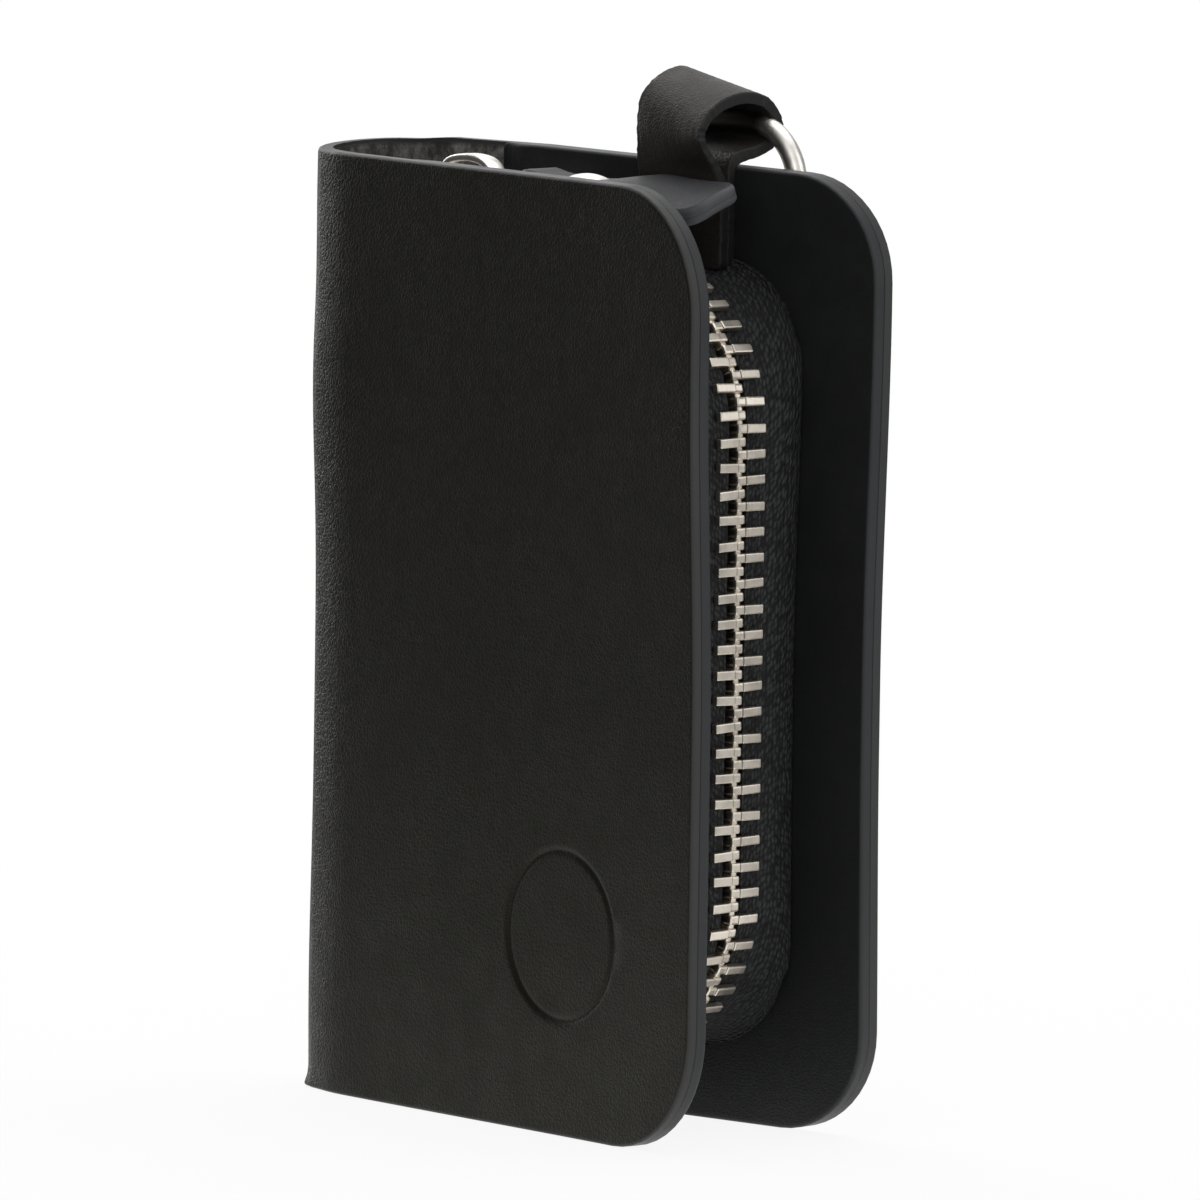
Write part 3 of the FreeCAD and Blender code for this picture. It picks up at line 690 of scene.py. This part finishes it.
def build_cover():
    length = SPINE_ARC + PANEL_LENGTH

    def place(along, height, depth):
        dent = mark_dent(-along - SPINE_ARC, height) * (along < 0) * (depth < COVER_LEATHER / 2)
        return cover_point(along, height, depth + dent)

    mark_reach = MARK_RADIUS + 2 * MARK_WIDTH
    mark_middle = -SPINE_ARC - MARK_ALONG
    mark_columns = (mark_middle - mark_reach, mark_middle + mark_reach)
    mark_rows = (MARK_HEIGHT - mark_reach, MARK_HEIGHT + mark_reach)
    columns = places(FREE_CORNER - length, length - BACK_FREE_CORNER, COLUMN_STEP, mark_columns, MARK_MESH)
    heights = places(EDGE_ROWS[-1], COVER_HEIGHT - EDGE_ROWS[-1], ROW_STEP, mark_rows, MARK_MESH)
    near = np.array([0.0, *EDGE_ROWS[:-1]])
    rows = np.concatenate([near, heights, COVER_HEIGHT - near[::-1]]) / COVER_HEIGHT
    cover = leather_sheet(
        "cover_skin", ((-length, FREE_CORNER), (length, BACK_FREE_CORNER)), (0.0, COVER_HEIGHT),
        COVER_LEATHER, (PAINTED_ROUNDING, GLUED_EDGE), columns[1:-1], rows, place, cover_finish,
        extra=cover_marks,
    )
    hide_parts("front_cover", "back_cover")
    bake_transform(cover)


def build_lining(side, word):
    corner = FREE_CORNER if side < 0 else BACK_FREE_CORNER
    columns = np.linspace(LINING_EDGE + SQUARE_CORNER, PANEL_LENGTH - corner, 44)[1:-1]

    def place(along, height, depth):
        thinned = LINING_SKIVED + (1 - LINING_SKIVED) * smooth_step(*LINING_SKIVED_SPAN, along)
        return cover_point(side * (SPINE_ARC + along), height, COVER_LEATHER + depth * thinned)

    def bare_start(flat, inside):
        return {"bare": 1 - smooth_step(*LINING_BARE_SPAN, flat[:, 0])}

    lining = leather_sheet(
        word + "_lining_skin", ((LINING_EDGE, SQUARE_CORNER), (PANEL_LENGTH, corner)), (0.0, COVER_HEIGHT),
        LINING_LEATHER, (GLUED_EDGE, PAINTED_ROUNDING), columns,
        edge_rows(COVER_HEIGHT, ROW_STEP), place, lining_finish, extra=bare_start,
    )
    finish_piece(lining, word + "_half", "lining_leather", word + "_lining")


# Zip

def u_line(start, reach, radius, half_run, splay, steps, finish=None):
    """A U that opens towards the spine, as (along, height), from its top end to its bottom end."""
    leg_steps, corner_steps, run_steps = steps
    centre = reach - radius
    turns = np.linspace(splay, math.pi / 2, corner_steps + 1)
    corner = np.stack([centre + radius * np.sin(turns), half_run + radius * np.cos(turns)], axis=-1)
    arms = []
    for end in (start, start if finish is None else finish):
        foot = np.array([end, corner[0, 1] + (corner[0, 0] - end) * math.tan(splay)])
        arms.append(np.concatenate([np.linspace(foot, corner[0], leg_steps + 1)[:-1], corner]))
    run = np.linspace(corner[-1], corner[-1] * (1, -1), run_steps + 1)[1:-1]
    return np.concatenate([arms[0], run, arms[1][::-1] * (1, -1)]) + (0, COVER_HEIGHT / 2)


def chain_line(start, steps, finish=None):
    return u_line(start, CHAIN_REACH, CHAIN_CORNER, CHAIN_HALF_RUN, CHAIN_SPLAY, steps, finish)


def beside_chain(line, y):
    """Points of a line of the zip, moved sideways from its middle plane."""
    return np.stack([line[:, 0], np.full(len(line), y), line[:, 1]], axis=-1)


def tape_sections(side, steps, across_steps):
    """Middle surface of a tape: a flat strip beside the teeth that rounds over on to the lining."""
    chain = chain_line(GUSSET_START_X, steps)
    seam = u_line(LINING_START, SEAM_REACH, SEAM_CORNER, SEAM_HALF_RUN, SEAM_SPLAY, steps)
    foot = panel_point(side, seam[:, 0], PANEL_THICKNESS + TAPE / 2, seam[:, 1])
    flat = np.linspace(TAPE_HALF_GAP, TAPE_FLAT, 4)
    strip = [beside_chain(chain, side * y) for y in flat]
    bend = []
    for turn in np.linspace(0, math.pi / 2, across_steps + 1)[1:]:
        out, drop = math.sin(turn), 1 - math.cos(turn)
        bend.append(strip[-1] + (foot - strip[-1]) * np.array([drop, out, drop]))
    return np.stack(strip + bend, axis=1)


def thick_loft(name, grid, thickness, material):
    """Solid of even thickness about a grid of points, with a flat map along and across it."""
    normal = np.cross(np.gradient(grid, axis=0), np.gradient(grid, axis=1))
    normal /= np.linalg.norm(normal, axis=-1, keepdims=True)
    rings = np.concatenate([grid + normal * thickness / 2, (grid - normal * thickness / 2)[:, ::-1]], axis=1)
    step_along = np.linalg.norm(np.diff(grid[:, grid.shape[1] // 2], axis=0), axis=-1)
    step_across = np.linalg.norm(np.diff(grid, axis=1), axis=-1).mean(axis=0)
    travel = np.concatenate([[0], np.cumsum(step_along)])
    width = np.concatenate([[0], np.cumsum(step_across)])
    width = np.concatenate([width, width[::-1]])
    flat = np.stack(np.meshgrid(travel, width, indexing="ij"), axis=-1).reshape(-1, 2) * MAP_SCALE
    return loft(name, rings, material, flat=flat)


def build_tape(side, word):
    """One woven tape sewn to the lining, with its two free ends near the spine."""
    sewn = tape_sections(side, (24, 26, 60), 10)
    tape = thick_loft(word + "_tape_weave", sewn, TAPE, tape_finish)
    finish_piece(tape, word + "_half", "zip_tape", word + "_zip_tape")
    chain = chain_line(TAPE_START_X, (12, 26, 60))
    across = np.linspace(TAPE_HALF_GAP, TAPE_FLAT + TAPE_END_WIDENING, 6)
    for name, line in (("upper", chain), ("lower", chain[::-1])):
        line = line[:len(line) // 2]
        line = line[line[:, 0] <= GUSSET_START_X + TAPE_END_LAP]
        rows = [beside_chain(line, side * y) for y in across]
        end = thick_loft(word + "_tape_end_" + name, np.stack(rows, axis=1), TAPE, tape_finish)
        finish_piece(end, word + "_half", "zip_tape")


def chamfered_box(shape, low, high, chamfer):
    made = bmesh.ops.create_cube(shape, size=1.0)["verts"]
    low, high = Vector(low) * MM, Vector(high) * MM
    for vertex in made:
        vertex.co = Vector(low[i] + (vertex.co[i] + 0.5) * (high[i] - low[i]) for i in range(3))
    edges = list({edge for vertex in made for edge in vertex.link_edges})
    bmesh.ops.bevel(shape, geom=edges, offset=chamfer * MM, segments=2, affect="EDGES", profile=0.5)


def tooth_model(side):
    """One tooth at the origin, with x along the chain."""
    shape = bmesh.new()
    for low, high, chamfer in TOOTH_BOXES:
        chamfered_box(shape, low, high, chamfer)
    if side < 0:
        bmesh.ops.scale(shape, vec=(1, -1, 1), verts=shape.verts)
        bmesh.ops.recalc_face_normals(shape, faces=shape.faces)
    mesh = bpy.data.meshes.new("tooth_model")
    shape.to_mesh(mesh)
    shape.free()
    mesh.polygons.foreach_set("use_smooth", [False] * len(mesh.polygons))
    return new_object("tooth_model", mesh)


def teeth_tree():
    """Geometry nodes that set teeth along a line at an even pitch, each turned a little by chance."""
    tree = bpy.data.node_groups.new("teeth_on_chain", "GeometryNodeTree")
    tree.interface.new_socket("Geometry", in_out="OUTPUT", socket_type="NodeSocketGeometry")
    kinds = {"Geometry": "Geometry", "Tooth": "Object", "First": "Float", "Pitch": "Float", "Count": "Int",
             "Play": "Float", "Seed": "Int", "Metal": "Material"}
    for name, kind in kinds.items():
        tree.interface.new_socket(name, in_out="INPUT", socket_type="NodeSocket" + kind)

    paint = Paint(tree)
    add = paint.node
    given = {socket.name: Value(paint, socket) for socket in add("NodeGroupInput").socket.node.outputs}
    last = add(
        "ShaderNodeMath", {"operation": "MULTIPLY_ADD"},
        {0: given["Count"] - 1.0, 1: given["Pitch"], 2: given["First"]},
    )
    line = add("GeometryNodeMeshToCurve", {}, {"Mesh": given["Geometry"]})
    trimmed = add("GeometryNodeTrimCurve", {"mode": "LENGTH"}, {"Curve": line, 4: given["First"], 5: last})
    seats = add("GeometryNodeResampleCurve", {"mode": "COUNT"}, {"Curve": trimmed, "Count": given["Count"]})
    heading = add("GeometryNodeInputTangent")
    turn = add("FunctionNodeAlignRotationToVector", {"axis": "X", "pivot_axis": "Y"}, {"Vector": heading})
    chance = add(
        "FunctionNodeRandomValue", {"data_type": "FLOAT"},
        {2: given["Play"] * -1.0, 3: given["Play"], "Seed": given["Seed"]}, 1,
    )
    twist = add("ShaderNodeCombineXYZ", {}, {2: chance})
    play = add("FunctionNodeEulerToRotation", {}, {0: twist})
    turn = add("FunctionNodeRotateRotation", {"rotation_space": "LOCAL"}, {0: turn, 1: play})
    tooth = add("GeometryNodeObjectInfo", {}, {"Object": given["Tooth"]}, "Geometry")
    set_out = add("GeometryNodeInstanceOnPoints", {}, {"Points": seats, "Instance": tooth, "Rotation": turn})
    real = add("GeometryNodeRealizeInstances", {}, {"Geometry": set_out})
    done = add("GeometryNodeSetMaterial", {}, {"Geometry": real, "Material": given["Metal"]})
    add("NodeGroupOutput", {}, {"Geometry": done})
    return tree


def build_teeth(side, word, tree, seed):
    line = chain_line(SLIDER_X, (8, 300, 8), TAPE_START_X)
    length = np.linalg.norm(np.diff(line, axis=0), axis=1).sum()
    mesh = bpy.data.meshes.new(word + "_teeth_line")
    points = SPINE + MM * beside_chain(line, 0.0)
    mesh.from_pydata(points.tolist(), [(i, i + 1) for i in range(len(points) - 1)], [])
    carrier = new_object(word + "_teeth_line", mesh)
    model = tooth_model(side)
    modifier = carrier.modifiers.new("teeth", "NODES")
    modifier.node_group = tree
    first = SLIDER_LENGTH / 2 + TOOTH_PITCH / 2
    count = 1 + int((length - STOP_LENGTH - TOOTH_PITCH - first) / TOOTH_PITCH)
    shift = TOOTH_PITCH / 2 if side < 0 else 0.0
    values = {"Tooth": model, "First": (first + shift) * MM, "Pitch": TOOTH_PITCH * MM, "Count": count,
              "Play": TOOTH_PLAY, "Seed": seed, "Metal": teeth_finish}
    for item in tree.interface.items_tree:
        if item.in_out == "INPUT" and item.name in values:
            modifier[item.identifier] = values[item.name]
    evaluated = carrier.evaluated_get(bpy.context.evaluated_depsgraph_get())
    made = bpy.data.meshes.new_from_object(evaluated)
    made.name = word + "_teeth_row"
    teeth = new_object(word + "_teeth_row", made)
    for helper in (carrier, model):
        bpy.data.objects.remove(helper)
    finish_piece(teeth, word + "_half", "zip_metal", word + "_zip_teeth")


# Slider crown, pull tab and hang loop

def build_crown():
    """Arch on the slider with rounded strap edges, which holds the puller's link."""
    half = (CROWN_LENGTH - CROWN_STRAP) / 2
    top = CROWN_HEIGHT - CROWN_STRAP / 2
    shares = [(-1, 0), (-1, 0.38), (-0.78, 0.78), (-0.1, 0.98), (0.55, 0.97), (0.93, 0.7), (1, 0.35), (1, 0)]
    strip = Strip(smooth_line(np.array(shares) * (half, top), 6))
    around = np.linspace(0, 2 * math.pi, 16, endpoint=False)
    power = 0.55
    swell = np.sign(np.cos(around)) * np.abs(np.cos(around)) ** power * CROWN_STRAP / 2
    wide = np.sign(np.sin(around)) * np.abs(np.sin(around)) ** power * CROWN_WIDTH / 2
    rings = []
    base = chain_line(SLIDER_X, (4, 4, 4))[0]
    for travel in strip.travel:
        x, z = strip.at(np.full(len(around), travel), -swell)
        z = z + CROWN_FOOT
        rings.append(np.stack([
            SLIDER_X + x * math.cos(CHAIN_SPLAY) + z * math.sin(CHAIN_SPLAY), wide,
            base[1] - x * math.sin(CHAIN_SPLAY) + z * math.cos(CHAIN_SPLAY),
        ], axis=-1))
    crown = loft("slider_arch", rings, slider_finish)
    finish_piece(crown, "slider", "zip_metal", "slider_crown")


def build_tab():
    """Leather strip folded round the link's far bar, drooping and rolled a little towards the front."""
    bar = (np.array(joints["pull_tab_swing"]["pos_m"]) - SPINE) / MM
    fold = np.linspace(*TAB_FOLD_TURN, 17)
    turn = TAB_FOLD_RADIUS * np.stack([np.cos(fold), np.sin(fold)], axis=-1)
    top = [(x, TAB_LEATHER) for x in (TAB_LENGTH, *TAB_TOP_PLACES)]
    top.append((TAB_NECK_LENGTH, TAB_LEATHER + TAB_NECK_RISE))
    path = np.concatenate([
        smooth_line(top + [turn[0]], 8)[:-1], turn,
        smooth_line([turn[-1]] + [(x, -z) for x, z in top[::-1]], 8)[1:],
    ])
    strip = Strip(path[::-1])

    def narrowing(along):
        x, _ = strip.at(along, 0.0)
        return (TAB_WIDTH - TAB_NECK_WIDTH) / 2 * (1 - smooth_step(*TAB_NECK_SPAN, x))

    def place(along, across, depth):
        x, z = strip.at(along, depth)
        roll = TAB_ROLL * smooth_step(TAB_ROLL_START, TAB_LENGTH, x)
        cup = -TAB_CUP * (across / TAB_WIDTH * 2) ** 2 * smooth_step(*TAB_CUP_SPAN, x)
        z = z + cup + TAB_ARCH * hump(x, *TAB_ARCH_PLACE)
        y = across * np.cos(roll) - z * np.sin(roll)
        z = across * np.sin(roll) + z * np.cos(roll)
        east = x * math.cos(TAB_DROOP) + z * math.sin(TAB_DROOP)
        up = -x * math.sin(TAB_DROOP) + z * math.cos(TAB_DROOP)
        return bar + np.stack([east, y, up], axis=-1)

    middle = np.linspace(TAB_END_CORNER, strip.length - TAB_END_CORNER, 90)[1:-1]
    tab = leather_sheet(
        "pull_tab_skin", ((0.0, TAB_END_CORNER), (strip.length, TAB_END_CORNER)),
        (-TAB_WIDTH / 2, TAB_WIDTH / 2), TAB_LEATHER, (TAB_EDGE_ROUNDING, GLUED_EDGE), middle,
        edge_rows(TAB_WIDTH, 0.6, NARROW_EDGE_ROWS), place, tab_finish, narrowing,
    )
    finish_piece(tab, "pull_tab", "tab_leather", "pull_tab_leather")


# The loop's outer line as (depth in from the cover's face, height), from its front foot over the top to its
# back foot
LOOP_OUTLINE = [
    (5.4, STRAP_FOOT), (5.4, 97.5), (6.2, 100.3), (7.3, 102.5), (7.9, 104.6), (7.5, 106.5), (6.2, 108.0),
    (3.9, 109.2), (0.8, 109.8), (-1.8, 109.4), (-3.8, 108.0), (-4.8, 106.0), (-4.6, 104.0), (-3.3, 102.7),
    (-1.4, 101.9), (0.8, 101.5), (2.4, 101.0), (3.0, 99.8), (3.0, 97.0), (3.0, STRAP_FOOT),
]


def build_hang_loop():
    """Strip that leaves the lining double, opens into a loop round the ring's bar and leans a little."""
    strip = Strip(smooth_line(LOOP_OUTLINE[::-1], 8))

    def place(along, across, depth):
        deep, high = strip.at(along, depth)
        share = (across - STRAP_START) / STRAP_WIDTH - 0.5
        skew = STRAP_SKEW * share * smooth_step(*STRAP_SKEW_HEIGHTS, high)
        skew = skew * smooth_step(*STRAP_SKEW_DEPTHS, deep)
        tilt = -STRAP_TILT * share * smooth_step(*STRAP_TILT_HEIGHTS, high)
        creases = STRAP_CREASE * np.sin(across * 5.1 + deep * 2.0) * smooth_step(*STRAP_CREASE_HEIGHTS, high)
        waves = np.sin(along * 6.1) + np.sin(along * 2.3 + 1.0) + 0.7 * np.sin(along * 13.7)
        ragged = STRAP_RAGGED * share * waves
        return panel_point(1, across + ragged, deep + skew + creases, high + tilt)

    middle = np.linspace(SQUARE_CORNER, strip.length - SQUARE_CORNER, 150)[1:-1]
    loop = leather_sheet(
        "hang_loop_skin", ((0.0, SQUARE_CORNER), (strip.length, SQUARE_CORNER)),
        (STRAP_START, STRAP_START + STRAP_WIDTH), STRAP_LEATHER, STRAP_ROUNDINGS, middle,
        edge_rows(STRAP_WIDTH, 0.5, NARROW_EDGE_ROWS), place, strap_finish, corner_steps=4,
    )
    finish_piece(loop, "back_half", "strap_leather", "hang_loop")


def build_ring():
    """Round wire bent to a D with wide shoulders, its bar darkened with painted shade inside the loop."""
    bar = (np.array(joints["ring_swing"]["pos_m"]) - SPINE) / MM
    from_start = bar[:2] - (PANEL_START_X, PANEL_START_Y)
    middle = from_start[0] * LEAN_COS + from_start[1] * LEAN_SIN
    behind = from_start[0] * LEAN_SIN - from_start[1] * LEAN_COS
    bow = RING_BAR_HALF + RING_SHOULDER
    turns = np.linspace(0, math.pi / 2, 16, endpoint=False)
    shoulder = np.stack([np.sin(turns), np.cos(turns) - 1], axis=-1) * RING_SHOULDER + (RING_BAR_HALF, 0)
    lower = np.linspace(0, math.pi, 48, endpoint=False)
    bottom = np.stack([np.cos(lower), -np.sin(lower)], axis=-1) * bow - (0, RING_SHOULDER)
    other = np.concatenate([[(-bow, -RING_SHOULDER)], shoulder[:0:-1] * (-1, 1)])
    straight = np.linspace((-RING_BAR_HALF, 0), (RING_BAR_HALF, 0), 8, endpoint=False)
    line = np.concatenate([straight, shoulder, bottom, other])
    heading = np.roll(line, -1, axis=0) - np.roll(line, 1, axis=0)
    heading /= np.linalg.norm(heading, axis=1)[:, None]
    outward = np.stack([-heading[:, 1], heading[:, 0]], axis=-1)
    around = np.linspace(0, 2 * math.pi, 20, endpoint=False)
    spread = outward[:, None, :] * np.cos(around)[None, :, None] * RING_WIRE / 2
    along = middle + line[:, None, 0] + spread[..., 0]
    height = bar[2] - RING_SAG + line[:, None, 1] + spread[..., 1]
    deep = np.broadcast_to(behind + np.sin(around) * RING_WIRE / 2, along.shape)
    points = panel_point(1, along, deep, height).reshape(-1, 3)
    number = np.arange(along.size).reshape(along.shape)
    onward, turned = np.roll(number, -1, axis=0), np.roll(number, -1, axis=1)
    both = np.roll(onward, -1, axis=1)
    faces = np.stack([number, onward, both, turned], axis=-1).reshape(-1, 4).tolist()
    # Painted shade on the ring's bar where it lies inside the hang loop
    inside = 1 - smooth_step(*RING_SHADE_SPAN, np.abs(along - middle))
    loop_shade = inside * (height > bar[2] - RING_SHOULDER)
    ring = make_piece("hanging_ring_wire", points, faces, ring_finish, {"loop_shade": loop_shade.ravel()})
    finish_piece(ring, "ring", "ring_metal", "hanging_ring")


# Metal pieces that keep their own shape

def soften(name, body, slot, finish, width):
    """Copy of a metal part with its sharp edges taken off, in the part's place."""
    shape = bmesh.new()
    shape.from_mesh(frame["nodes"][name].data)
    bmesh.ops.remove_doubles(shape, verts=shape.verts, dist=WELD_DISTANCE * MM)
    bmesh.ops.dissolve_limit(shape, angle_limit=FLAT_TURN, verts=shape.verts, edges=shape.edges)
    sharp = [edge for edge in shape.edges if edge.is_manifold and edge.calc_face_angle() > EASED_TURN]
    bmesh.ops.bevel(shape, geom=sharp, offset=width * MM, segments=2, affect="EDGES", profile=0.5)
    bmesh.ops.recalc_face_normals(shape, faces=shape.faces)
    mesh = bpy.data.meshes.new(name + "_softened")
    shape.to_mesh(mesh)
    shape.free()
    mesh.polygons.foreach_set("use_smooth", [True] * len(mesh.polygons))
    mesh.set_sharp_from_angle(angle=METAL_SHARP_TURN)
    mesh.materials.clear()
    mesh.materials.append(finish)
    finish_piece(new_object(name + "_softened", mesh), body, slot, name)


def dress_metal():
    soften("slider_body", "slider", "zip_metal", slider_finish, SLIDER_EASING)
    soften("front_top_stop", "front_half", "zip_metal", slider_finish, STOP_EASING)
    soften("back_top_stop", "back_half", "zip_metal", slider_finish, STOP_EASING)
    soften("zip_bottom_stop", "back_half", "zip_metal", slider_finish, STOP_EASING)
    soften("hook_plate", "back_half", "hook_metal", hook_finish, PLATE_EASING)
    finishes = {
        slider_finish: ["puller_link"],
        rivet_finish: ["tab_rivet_cap", "tab_rivet_post", "hook_plate_rivets"],
        hook_finish: ["hook_rod"] + [name for name in frame["nodes"] if name.startswith("key_hook_")],
    }
    for finish, names in finishes.items():
        for name in names:
            for slot in frame["nodes"][name].material_slots:
                slot.material = finish


# Studio

CAMERA_TURN, CAMERA_RISE, CAMERA_ROLL = (math.radians(v) for v in (46.543, 5.922, 0.833))
TO_CAMERA = np.array([
    math.sin(CAMERA_TURN) * math.cos(CAMERA_RISE), -math.cos(CAMERA_TURN) * math.cos(CAMERA_RISE),
    math.sin(CAMERA_RISE),
])
RIGHT_WALL = (0.93, -0.1, 0.35)
LAMP_AIM = (0.0, 0.0, 0.06)


def ray_share(paint, *kinds):
    """One for rays of the given kinds and zero for others."""
    node = paint.node("ShaderNodeLightPath").socket.node
    share = Value(paint, node.outputs[kinds[0]])
    for kind in kinds[1:]:
        other = Value(paint, node.outputs[kind])
        share = paint.node("ShaderNodeMath", {"operation": "MAXIMUM"}, {0: share, 1: other})
    return share


def build_floor():
    """White paper that the camera sees bright, and that shiny surfaces see dimming away from the case."""
    material, paint = new_paint("floor_white")
    seen = ray_share(paint, "Is Camera Ray", "Is Transmission Ray")
    mirrored = ray_share(paint, "Is Glossy Ray")
    where = paint.place()
    speck = paint.noise(where, 60.0)
    away = paint.node("ShaderNodeVectorMath", {"operation": "LENGTH"}, {0: where}, 1)
    glow_share = paint.steps(away, 0.08, 0.5, 0.9, 1.0)
    paper = paint.node("ShaderNodeBsdfDiffuse", {}, {"Color": paint.mix(speck, grey(0.84), grey(0.88))})
    glow = paint.node("ShaderNodeEmission", {}, {"Color": grey(1.0), "Strength": 1.0})
    both = paint.node("ShaderNodeMixShader", {}, {0: seen * glow_share, 1: paper, 2: glow})
    near_glow = paint.steps(away, 0.05, 0.32, 0.9, 0.1)
    dimming = paint.node(
        "ShaderNodeEmission", {}, {"Color": paint.mix(near_glow, grey(0.0), grey(1.0)), "Strength": 1.2}
    )
    both = paint.node("ShaderNodeMixShader", {}, {0: mirrored, 1: both, 2: dimming})
    paint.node("ShaderNodeOutputMaterial", {}, {"Surface": both})
    size = 6.0
    mesh = bpy.data.meshes.new("floor")
    corners = [(-size, -size, 0), (size, -size, 0), (size, size, 0), (-size, size, 0)]
    mesh.from_pydata(corners, [], [(0, 1, 2, 3)])
    mesh.materials.append(material)
    floor = new_object("floor", mesh)


def build_world():
    """White for the camera, bright behind and to the right for shiny surfaces, and else a low fill."""
    world = bpy.data.worlds.new("studio")
    bpy.context.scene.world = world
    world.use_nodes = True
    paint = Paint(world.node_tree)
    where = paint.node("ShaderNodeTexCoord", output="Generated")
    behind, right = (
        paint.node("ShaderNodeVectorMath", {"operation": "DOT_PRODUCT"}, {0: where, 1: list(heading)}, 1)
        for heading in (-TO_CAMERA, RIGHT_WALL)
    )
    room = paint.steps(behind, 0.3, 0.95, 0.07, 0.6) + paint.steps(right, 0.1, 0.8, 0.0, 0.6)
    fill = paint.node("ShaderNodeBackground", {}, {"Color": grey(1.0), "Strength": 0.4})
    walls = paint.mix(room, grey(0.0), grey(1.0))
    studio = paint.node("ShaderNodeBackground", {}, {"Color": walls, "Strength": 1.0})
    white = paint.node("ShaderNodeBackground", {}, {"Color": grey(1.0), "Strength": 1.0})
    lit = paint.node("ShaderNodeMixShader", {}, {0: ray_share(paint, "Is Glossy Ray"), 1: fill, 2: studio})
    seen = ray_share(paint, "Is Camera Ray", "Is Transmission Ray")
    both = paint.node("ShaderNodeMixShader", {}, {0: seen, 1: lit, 2: white})
    paint.node("ShaderNodeOutputWorld", {}, {"Surface": both})


def add_softbox(name, place, size, power):
    lamp = bpy.data.lights.new(name, "AREA")
    lamp.shape = "RECTANGLE"
    lamp.size, lamp.size_y = size
    lamp.energy = power
    direction = Vector(place) - Vector(LAMP_AIM)
    turned = direction.to_track_quat("Z", "Y").to_matrix().to_4x4()
    new_object(name, lamp).matrix_world = Matrix.Translation(place) @ turned


def build_lights():
    """Softboxes round the case, with places and sizes in metres and power in watts."""
    add_softbox("back_top_softbox", (-0.1, 0.35, 0.9), size=(0.9, 0.7), power=3.8)
    add_softbox("top_softbox", (0.0, -0.1, 1.0), size=(0.9, 0.7), power=2.0)
    add_softbox("left_softbox", (-0.92, 0.15, 0.35), size=(0.5, 0.9), power=4.0)
    add_softbox("back_left_softbox", (-0.68, 0.62, 0.35), size=(0.5, 0.9), power=1.0)
    add_softbox("right_softbox", (0.8, 0.48, 0.35), size=(0.4, 0.9), power=1.5)
    add_softbox("front_softbox", (0.75, -0.8, 0.5), size=(0.6, 0.6), power=1.2)


def build_camera():
    """The photo's viewpoint, fitted to the panels' edges: a long lens from the free side, a little above."""
    distance = 1700.0
    aim = np.array([41.104, 0.0, 55.137])
    pixels_per_mm = 9.529
    frame_pixels = 1200.0
    level = np.array([math.cos(CAMERA_TURN), math.sin(CAMERA_TURN), 0.0])
    upright = np.cross(TO_CAMERA, level)
    right = math.cos(CAMERA_ROLL) * level + math.sin(CAMERA_ROLL) * upright
    up = -math.sin(CAMERA_ROLL) * level + math.cos(CAMERA_ROLL) * upright
    lens = bpy.data.cameras.new("camera")
    lens.sensor_width = 36.0
    lens.lens = pixels_per_mm * distance / frame_pixels * lens.sensor_width
    lens.clip_end = 50.0
    camera = new_object("camera", lens)
    turned = Matrix(np.stack([right, up, TO_CAMERA], axis=-1).tolist()).to_4x4()
    place = SPINE + MM * (aim + TO_CAMERA * distance)
    camera.matrix_world = Matrix.Translation(place) @ turned
    bpy.context.scene.camera = camera


build_camera()
build_cover()
teeth_nodes = teeth_tree()
for side, word in ((-1, "front"), (1, "back")):
    build_lining(side, word)
    build_tape(side, word)
    build_teeth(side, word, teeth_nodes, 3 + side)
build_crown()
build_tab()
build_hang_loop()
build_ring()
dress_metal()
build_floor()
build_world()
build_lights()
bpy.context.scene.view_settings.view_transform = "Standard"
